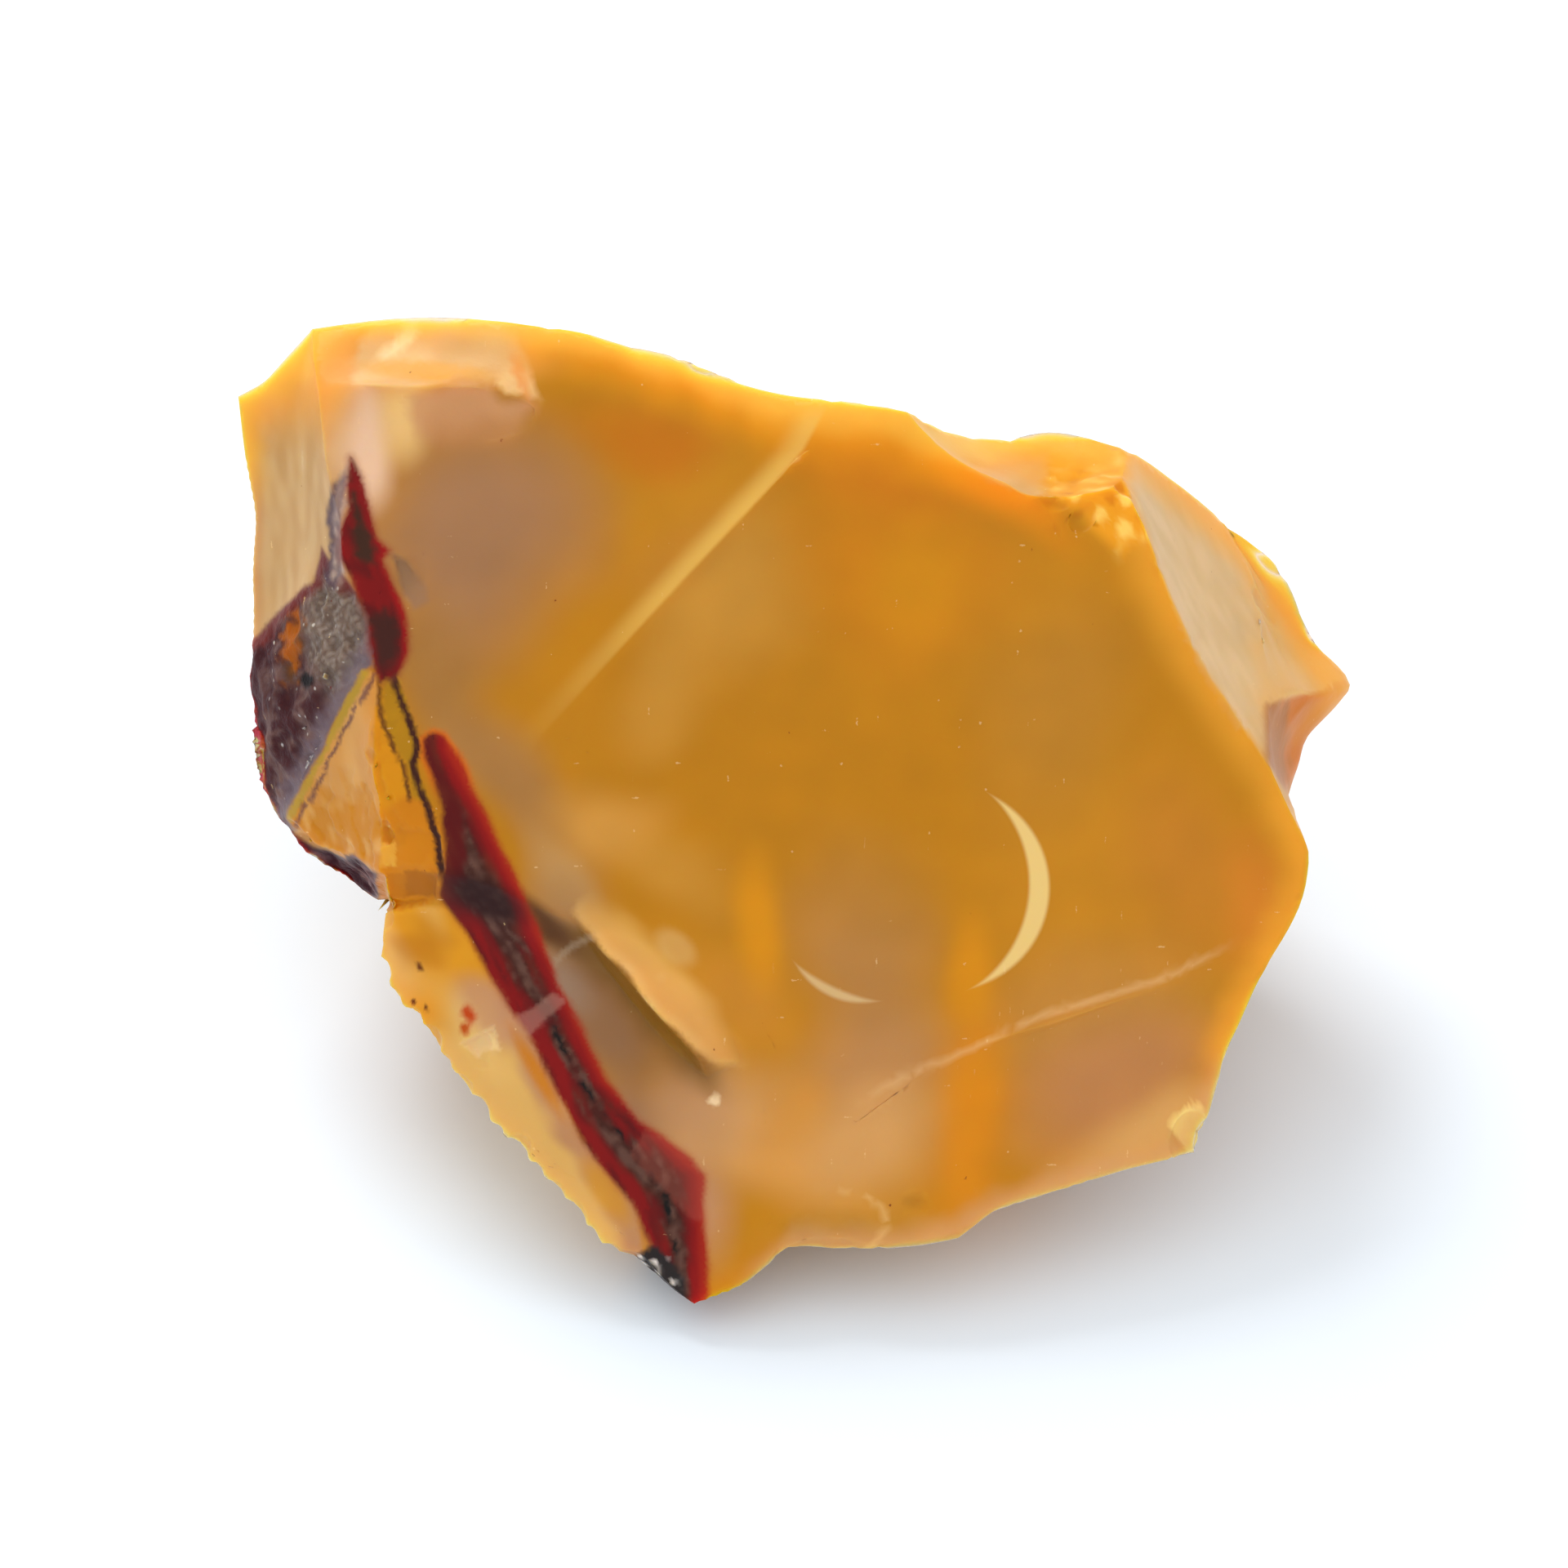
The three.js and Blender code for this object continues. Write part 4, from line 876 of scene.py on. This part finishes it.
# %% The crest line and the scratched part
CREST = [(3, -12.4), (3.9, -11.9), (7.8, -8.4), (11.6, -4.9), (14.9, -1.8), (18, 1), (20.4, 2.3)]
crest_gap = (across - line_at(CREST)) * 0.72
crest_share = fade(up, 2, 13) * fade(up, 20.8, 19) * fade(out, -4, -2)
scuffed = fade(oval(15.4, -10.4, 7.4, 3.6, 18), 1.2, 0.5) * fade(out, -4, -2)
print("points on the crest line:", int((crest_share > 0.5).sum()))

# %% [markdown]
# What was worked out in Python is now kept on the points as attributes, which the relief tree and
# the material read by name. They move with the points, so the markings stay where they are.

# %% What the points keep
def keep(name, values, kind="FLOAT"):
    layer = fine_mesh.attributes.new(name, kind, "POINT")
    slot = "value" if kind == "FLOAT" else "vector" if kind == "FLOAT_VECTOR" else "color"
    layer.data.foreach_set(slot, np.asarray(values, np.float32).ravel())


rindy = fade(np.maximum(depths["rind"], depths["rind foot"]), 0, 0.5) * shown
keep("place", place, "FLOAT_VECTOR")
keep("colour", np.concatenate([colour, np.ones((len(place), 1))], 1), "FLOAT_COLOR")
keep("struck_face", fade(out, -6, -4))
keep("scuffed", scuffed)
keep("crest_gap", crest_gap)
keep("crest_share", crest_share)
keep("rindy", rindy)
print("kept on the points:", ", ".join(layer.name for layer in fine_mesh.attributes))

# %% [markdown]
# The relief is what breaking leaves behind. Some of it is placed one by one: flake scars, crisp along
# one rim and running out on the other side. Each one here sinks by its own depth and leans one way.
# Three small steps cross the strip. Arrises are nibbled everywhere, but most where `worn` is 1.

# %% Flake scars placed one by one
in_sight = front > 0.4


def scar(outline, depth, lean, rim=0.35):
    """Sinks an outline's inside, deepest on the side that lean (across, up) points to."""
    corners = np.array(outlines[outline])
    lean = np.array(lean) / math.hypot(*lean)
    along = corners @ lean
    share = fade(across * lean[0] + up * lean[1], along.min(), along.max())
    return fade(depths[outline], 0, rim) * share * depth * in_sight


sunk = scar("inner scar", 0.08, (-0.3, 1)) + scar("panel", 0.06, (0, -1))
sunk = sunk + scar("little scar", 0.25, (-1, 0.4), 0.25)
sunk = sunk + scar("cream chip", 0.25, (-0.4, 1), 0.2) + scar("lavender", 0.15, (1, 0), 0.2)
for middle_across, middle_up, half_long, half_wide, turn, depth in (
    (2.1, -20.1, 3, 1.35, 4, 0.35),
    (6.4, -18.9, 0.8, 0.5, 0, 0.2),
    (12.2, 16.3, 1.3, 0.8, 20, 0.2),
    (20.2, 8.6, 0.8, 0.4, 60, 0.1),
    (18.4, 12.2, 0.7, 0.35, 65, 0.1),
    (22.6, 4.4, 0.8, 0.4, 55, 0.1),
    (19.9, -15.4, 1, 1.3, -20, 0.3),
):
    reach = oval(middle_across, middle_up, half_long, half_wide, turn) + wander(0.8, 71) * 0.12
    sunk = np.maximum(sunk, fade(reach, 1.05, 0.2) * depth * in_sight)
for line, lower in ((up + 0.7 + 0.12 * fine, 0.12), (up + 2.5, 0.1), (up + 4.2, 0.12)):
    sunk = sunk + fade(line, 0.05, -0.05) * lower * fade(depths["strip"], 0, 0.2)

worn = 0.12
for middle_across, middle_up, half_long, half_wide, turn in (
    (-14, -14, 12, 5, -45),
    (20, 10, 9, 3, -60),
    (-20.5, 3, 8, 2, 90),
    (23, -9, 8, 3, -60),
    (0, 21, 12, 2, -6),
):
    reach = oval(middle_across, middle_up, half_long, half_wide, turn)
    worn = np.maximum(worn, fade(reach, 1.2, 0.8))
blocky = fade(np.maximum(depths["strip"], depths["facet"] * fade(up, 3, 0.5)), 0, 0.3) * fade(out, -13, -11)
crushed = fade(oval(14.6, 15.6, 2.6, 2.2, 20), 1.1, 0.7) * fade(out, -7, -4)
keep("sunk", sunk)
keep("nibbled", ridge * ridge * fade(wander(4, 72), -0.8, 0.6) * worn)
keep("blocky", np.maximum(blocky * 0.7, crushed))
keep("rippled", 0.15 + 0.85 * behind)
print("scars as deep as", round(sunk.max(), 2), "mm")

# %% [markdown]
# The rest of the relief follows rules: ridges nibbled into little scallops, a rough pitted rind,
# blocky steps beside the vein, and ripples that spread over the breaks at the back. Geometry Nodes
# moves each point along its own normal. Its inputs are sizes and depths in millimetres. The rules
# are sums, and `Field` lets them be written as sums: each plus or times makes one Math node.

# %% Sums written as nodes
def add_node(tree, kind, inputs=(), **settings):
    node = tree.nodes.new(kind)
    for name, value in settings.items():
        setattr(node, name, value)
    for key, value in dict(inputs).items():
        if isinstance(value, Field):
            tree.links.new(value.socket, node.inputs[key])
        else:
            node.inputs[key].default_value = value
    return node


def result(tree, kind, inputs=(), output=0, **settings):
    """What a new node gives, as a Field."""
    return Field(tree, add_node(tree, kind, inputs, **settings).outputs[output])


def calc(operation, *values):
    tree = next(value.tree for value in values if isinstance(value, Field))
    return result(tree, "ShaderNodeMath", enumerate(values), operation=operation)


class Field:
    def __init__(self, tree, socket):
        self.tree = tree
        self.socket = socket

    def __add__(self, other):
        return calc("ADD", self, other)

    def __sub__(self, other):
        return calc("SUBTRACT", self, other)

    def __rsub__(self, other):
        return calc("SUBTRACT", other, self)

    def __mul__(self, other):
        return calc("MULTIPLY", self, other)

    def __rtruediv__(self, other):
        return calc("DIVIDE", other, self)

    __radd__ = __add__
    __rmul__ = __mul__


def noise(place, size, detail=1.0):
    """A smooth wander between about -1 and 1, with lumps of that size in millimetres."""
    inputs = {"Vector": place, "Scale": 1 / size, "Detail": detail}
    return result(place.tree, "ShaderNodeTexNoise", inputs, noise_dimensions="3D") * 4 - 2


def cells(place, size):
    """Cells of about that size in millimetres: how far a cell's middle is, and its own chance."""
    node = add_node(place.tree, "ShaderNodeTexVoronoi", {"Vector": place, "Scale": 1 / size})
    return Field(place.tree, node.outputs["Distance"]), Field(place.tree, node.outputs["Color"])


print("helpers for sums of nodes are ready")

# %% [markdown]
# The tree's inputs are listed once, with their values, and every rule reads its sizes from there.
# All rules add up to one depth for each point: how far it sinks below the smooth surface.

# %% The relief tree
relief_sizes = {
    "Nibble size": 1.9,
    "Nibble depth": 0.17,
    "Rind lump size": 1.8,
    "Rind lump depth": 0.12,
    "Rind pit size": 1.3,
    "Rind pit depth": 0.22,
    "Block size": 1.5,
    "Block step": 0.26,
    "Ripple depth": 0.16,
}
relief_tree = bpy.data.node_groups.new("relief", "GeometryNodeTree")
relief_tree.interface.new_socket("Geometry", in_out="OUTPUT", socket_type="NodeSocketGeometry")
relief_tree.interface.new_socket("Geometry", in_out="INPUT", socket_type="NodeSocketGeometry")
for name in relief_sizes:
    relief_tree.interface.new_socket(name, in_out="INPUT", socket_type="NodeSocketFloat")
relief_tree.interface.new_socket("Finish", in_out="INPUT", socket_type="NodeSocketMaterial")
entry = relief_tree.nodes.new("NodeGroupInput")
size_of = {name: Field(relief_tree, entry.outputs[name]) for name in relief_sizes}


def kept(name, kind="FLOAT"):
    return result(relief_tree, "GeometryNodeInputNamedAttribute", {"Name": name}, data_type=kind)


def bites(size):
    """Round bites, each 1 deep in its middle, packed about that far apart."""
    distance, _ = cells(spot, size)
    return calc("MAXIMUM", 1 - distance * distance * 3, 0.0)


spot = kept("place", "FLOAT_VECTOR")
nibbles = bites(size_of["Nibble size"]) * size_of["Nibble depth"]
lumps = noise(spot, size_of["Rind lump size"], 3) * size_of["Rind lump depth"]
pits = bites(size_of["Rind pit size"]) * size_of["Rind pit depth"]
_, block_height = cells(spot, size_of["Block size"])
rings = calc("SINE", noise(spot, 9) * 4) * size_of["Ripple depth"]
sinking = kept("sunk") + kept("nibbled") * nibbles + kept("rindy") * (pits - lumps)
sinking = sinking + kept("blocky") * block_height * size_of["Block step"] + kept("rippled") * rings
print("nodes in the relief tree so far:", len(relief_tree.nodes))

# %% [markdown]
# The sum pushes each point inwards along its normal. The tree ends in Realize Instances and Set
# Material, and runs once: its result becomes a plain mesh, which is kept inside the solid's box.

# %% The tree is closed and run
inwards = {0: result(relief_tree, "GeometryNodeInputNormal"), "Scale": sinking * (-MM)}
push = result(relief_tree, "ShaderNodeVectorMath", inwards, operation="SCALE")
whole = Field(relief_tree, entry.outputs["Geometry"])
moved = result(relief_tree, "GeometryNodeSetPosition", {"Geometry": whole, "Offset": push})
real = result(relief_tree, "GeometryNodeRealizeInstances", {0: moved})
finishing = {"Geometry": real, "Material": Field(relief_tree, entry.outputs["Finish"])}
finished = result(relief_tree, "GeometryNodeSetMaterial", finishing)
add_node(relief_tree, "NodeGroupOutput", {0: finished})

jasper = bpy.data.materials.new("mookaite_jasper")
skin = stone.modifiers.new("relief", "NODES")
skin.node_group = relief_tree
for item in relief_tree.interface.items_tree:
    if item.in_out == "INPUT" and item.name in relief_sizes:
        skin[item.identifier] = float(relief_sizes[item.name])
    elif item.in_out == "INPUT" and item.name == "Finish":
        skin[item.identifier] = jasper
worn_mesh = plain_mesh(stone)
stone.modifiers.clear()
stone.data = worn_mesh
set_points(worn_mesh, np.clip(points_of(worn_mesh), cad_low, cad_high))
worn_mesh.shade_smooth()
print("stone:", sum(len(face.vertices) - 2 for face in worn_mesh.polygons), "triangles")

# %% [markdown]
# Broken chert is waxy: a dull shine, and a body that lets a little light in. The material takes its
# colour from the points, and adds what is too fine for them: the crest line, and the crescents, each
# of which is what one circle has and another, moved aside, has not. The bruises are tiny white specks
# and scratches, and among them are a few red specks of iron.

# %% The finish
def seen(name, output="Fac"):
    return result(finish, "ShaderNodeAttribute", output=output, attribute_name=name)


def fading(value, none, full):
    """The same fade as on the points, but as a node."""
    ends = {0: value, 1: none, 2: full}
    return result(finish, "ShaderNodeMapRange", ends, interpolation_type="SMOOTHSTEP")


def mixed(amount, under, tint):
    """The colour under, painted over by that amount of the tint."""
    tint = tint if isinstance(tint, Field) else (*tint, 1)
    return result(finish, "ShaderNodeMix", {0: amount, 6: under, 7: tint}, 2, data_type="RGBA")


def specks(cell, size, least, most):
    """Crumbs of that size in the cells whose chance is between least and most."""
    distance, chance = cell
    distance = distance + noise(spot, 0.12) * size * 0.8
    chosen = fading(chance, least - 0.02, least) * fading(chance, most, most - 0.02)
    return fading(distance, size, size * 0.5) * chosen


def stretched(long_across, long_up):
    """The place, squeezed so that round cells become long ones."""
    squeeze = {0: spot, 1: (1 / long_across, 1 / long_up, 1)}
    return result(finish, "ShaderNodeVectorMath", squeeze, operation="MULTIPLY")


def circle(middle_across, middle_up, radius):
    """How far inside a circle on the face the place lies, in millimetres."""
    flat = result(finish, "ShaderNodeVectorMath", {0: spot, 1: (1, 1, 0)}, operation="MULTIPLY")
    ends = {0: flat, 1: (middle_across, middle_up, 0)}
    return radius - result(finish, "ShaderNodeVectorMath", ends, 1, operation="DISTANCE")


def crescent(outer, inner):
    return calc("MINIMUM", circle(*outer), circle(*inner) * -1)


jasper.use_nodes = True
finish = jasper.node_tree
finish.nodes.clear()
spot = seen("place", "Vector")
struck_face = seen("struck_face")
crest_gap = seen("crest_gap")
crest = fading(crest_gap, 0.1, -0.15) * fading(crest_gap, -1.3, -0.2) * seen("crest_share")
tone = mixed(crest * 0.6, seen("colour", "Color"), paint(226, 186, 96))
# The crescents are painted reflections of light from the cracks under the face.
big_crescent = fading(crescent((8, -3.5, 5.07), (5.9, -3.3, 6.05)), -0.06, 0.22)
small_crescent = fading(crescent((3.75, -5.55, 3.63), (6.7, 0.9, 10.12)), -0.06, 0.22)
tone = mixed(big_crescent * struck_face * 0.85, tone, paint(238, 208, 136))
tone = mixed(small_crescent * struck_face * 0.7, tone, paint(222, 192, 140))
dots = cells(spot, 1.1)
bruises = specks(dots, 0.06, 0.3, 0.48)
bruises = calc("MAXIMUM", bruises, specks(cells(stretched(0.4, 2.2), 1.4), 0.08, 0.45, 0.6))
bruises = calc("MAXIMUM", bruises, specks(cells(stretched(2, 0.4), 1.4), 0.08, 0.5, 0.62))
scratches = specks(cells(stretched(0.35, 1.6), 0.8), 0.12, 0.3, 0.55) * seen("scuffed")
bruises = calc("MAXIMUM", bruises, scratches)
tone = mixed(bruises * 0.45, tone, paint(236, 200, 144))
tone = mixed(specks(dots, 0.06, 0.62, 0.7) * 0.75, tone, paint(112, 40, 20))
rindy_here = seen("rindy")
# Painted highlights: the rind's glints are pale sparks laid into its colour.
glint_distance, glint_chance = cells(spot, 0.45)
painted_glints = fading(glint_distance, 0.3, 0.1) * fading(glint_chance, 0.74, 0.86) * rindy_here
tone = mixed(painted_glints * 0.6, tone, paint(226, 218, 208))

height = noise(spot, 0.45, 3) * (0.004 + rindy_here * 0.04)
waxy = {
    "Base Color": tone,
    "Roughness": 0.38 + bruises * 0.2 + rindy_here * 0.25,
    "Normal": result(finish, "ShaderNodeBump", {"Height": height, "Strength": 1.0, "Distance": MM}),
    "IOR": 1.54,
    "Specular IOR Level": 0.11,
    "Subsurface Weight": 0.6,
    "Subsurface Radius": (1.0, 0.5, 0.2),
    "Subsurface Scale": 2.2 * MM,
}
shader = result(finish, "ShaderNodeBsdfPrincipled", waxy)
add_node(finish, "ShaderNodeOutputMaterial", {"Surface": shader})
print("nodes in the finish:", len(finish.nodes))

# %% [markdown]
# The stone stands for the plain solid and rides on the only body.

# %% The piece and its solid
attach(stone, "root")
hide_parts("stone")

# %% [markdown]
# The photograph was taken on a lit white table, which shows as pure white, with a soft grey shadow in
# front of the stone. A round lamp above and behind gives that shadow. The sky is brighter on the
# camera's side, which lights the struck face. The table is a little blue, because the stone throws
# warm light on it, and in the photograph the shadow stays grey.

# %% The table and the light
TABLE_WIDE = 3
LAMP_AWAY = 500
LAMP_TURN = math.radians(-25)
LAMP_RISE = math.radians(45)
table_mesh = bpy.data.meshes.new("table")
corners = [(x * TABLE_WIDE / 2, y * TABLE_WIDE / 2, 0) for x, y in ((-1, -1), (1, -1), (1, 1), (-1, 1))]
table_mesh.from_pydata(corners, [], [(0, 1, 2, 3)])
table = in_scene("table", table_mesh)
white = bpy.data.materials.new("white_table")
white.use_nodes = True
top = white.node_tree.nodes["Principled BSDF"]
top.inputs["Base Color"].default_value = (0.8, 0.87, 0.94, 1)
top.inputs["Roughness"].default_value = 0.9
top.inputs["Specular IOR Level"].default_value = 0
table_mesh.materials.append(white)

sky = bpy.data.worlds.new("sky")
sky.use_nodes = True
air = sky.node_tree
direction = result(air, "ShaderNodeTexCoord", output="Generated")
facing = result(air, "ShaderNodeVectorMath", {0: direction, 1: OUT}, "Value", operation="DOT_PRODUCT")
limits = {0: facing, 1: -0.2, 2: 0.95, 3: 0.6, 4: 1.3}
brightness = result(air, "ShaderNodeMapRange", limits, interpolation_type="SMOOTHSTEP")
air.nodes["Background"].inputs["Color"].default_value = (1, 1, 1, 1)
air.links.new(brightness.socket, air.nodes["Background"].inputs["Strength"])
bpy.context.scene.world = sky

lamp_light = bpy.data.lights.new("lamp", "AREA")
lamp_light.shape = "DISK"
lamp_light.size = 0.3
lamp_light.energy = 1.5
lamp = in_scene("lamp", lamp_light)
level = math.cos(LAMP_RISE)
towards_lamp = Vector((math.sin(LAMP_TURN) * level, math.cos(LAMP_TURN) * level, math.sin(LAMP_RISE)))
lamp.location = face_middle + towards_lamp * LAMP_AWAY * MM
lamp.rotation_euler = towards_lamp.to_track_quat("Z", "Y").to_euler()
bpy.context.scene.view_settings.view_transform = "Standard"
print("lamp", round((lamp.location - face_middle).length, 2), "m from the stone")

# %% [markdown]
# The photograph looks square on to the struck face, from some way off. It spans 76.8 mm, so at this
# distance the lens follows from the sensor's width.

# %% The camera
CAMERA_DISTANCE = 1.5
PHOTO_SPAN = 76.8 * MM
AIM_UP = 1.6
camera_data = bpy.data.cameras.new("camera")
camera_data.sensor_width = 36
camera_data.lens = camera_data.sensor_width * CAMERA_DISTANCE / PHOTO_SPAN
camera_data.clip_start = 0.1
camera_data.clip_end = 10
camera = in_scene("camera", camera_data)
camera.location = on_face(0, AIM_UP, CAMERA_DISTANCE / MM)
camera.rotation_euler = OUT.to_track_quat("Z", "Y").to_euler()
bpy.context.scene.camera = camera
print("lens", round(camera_data.lens), "mm")
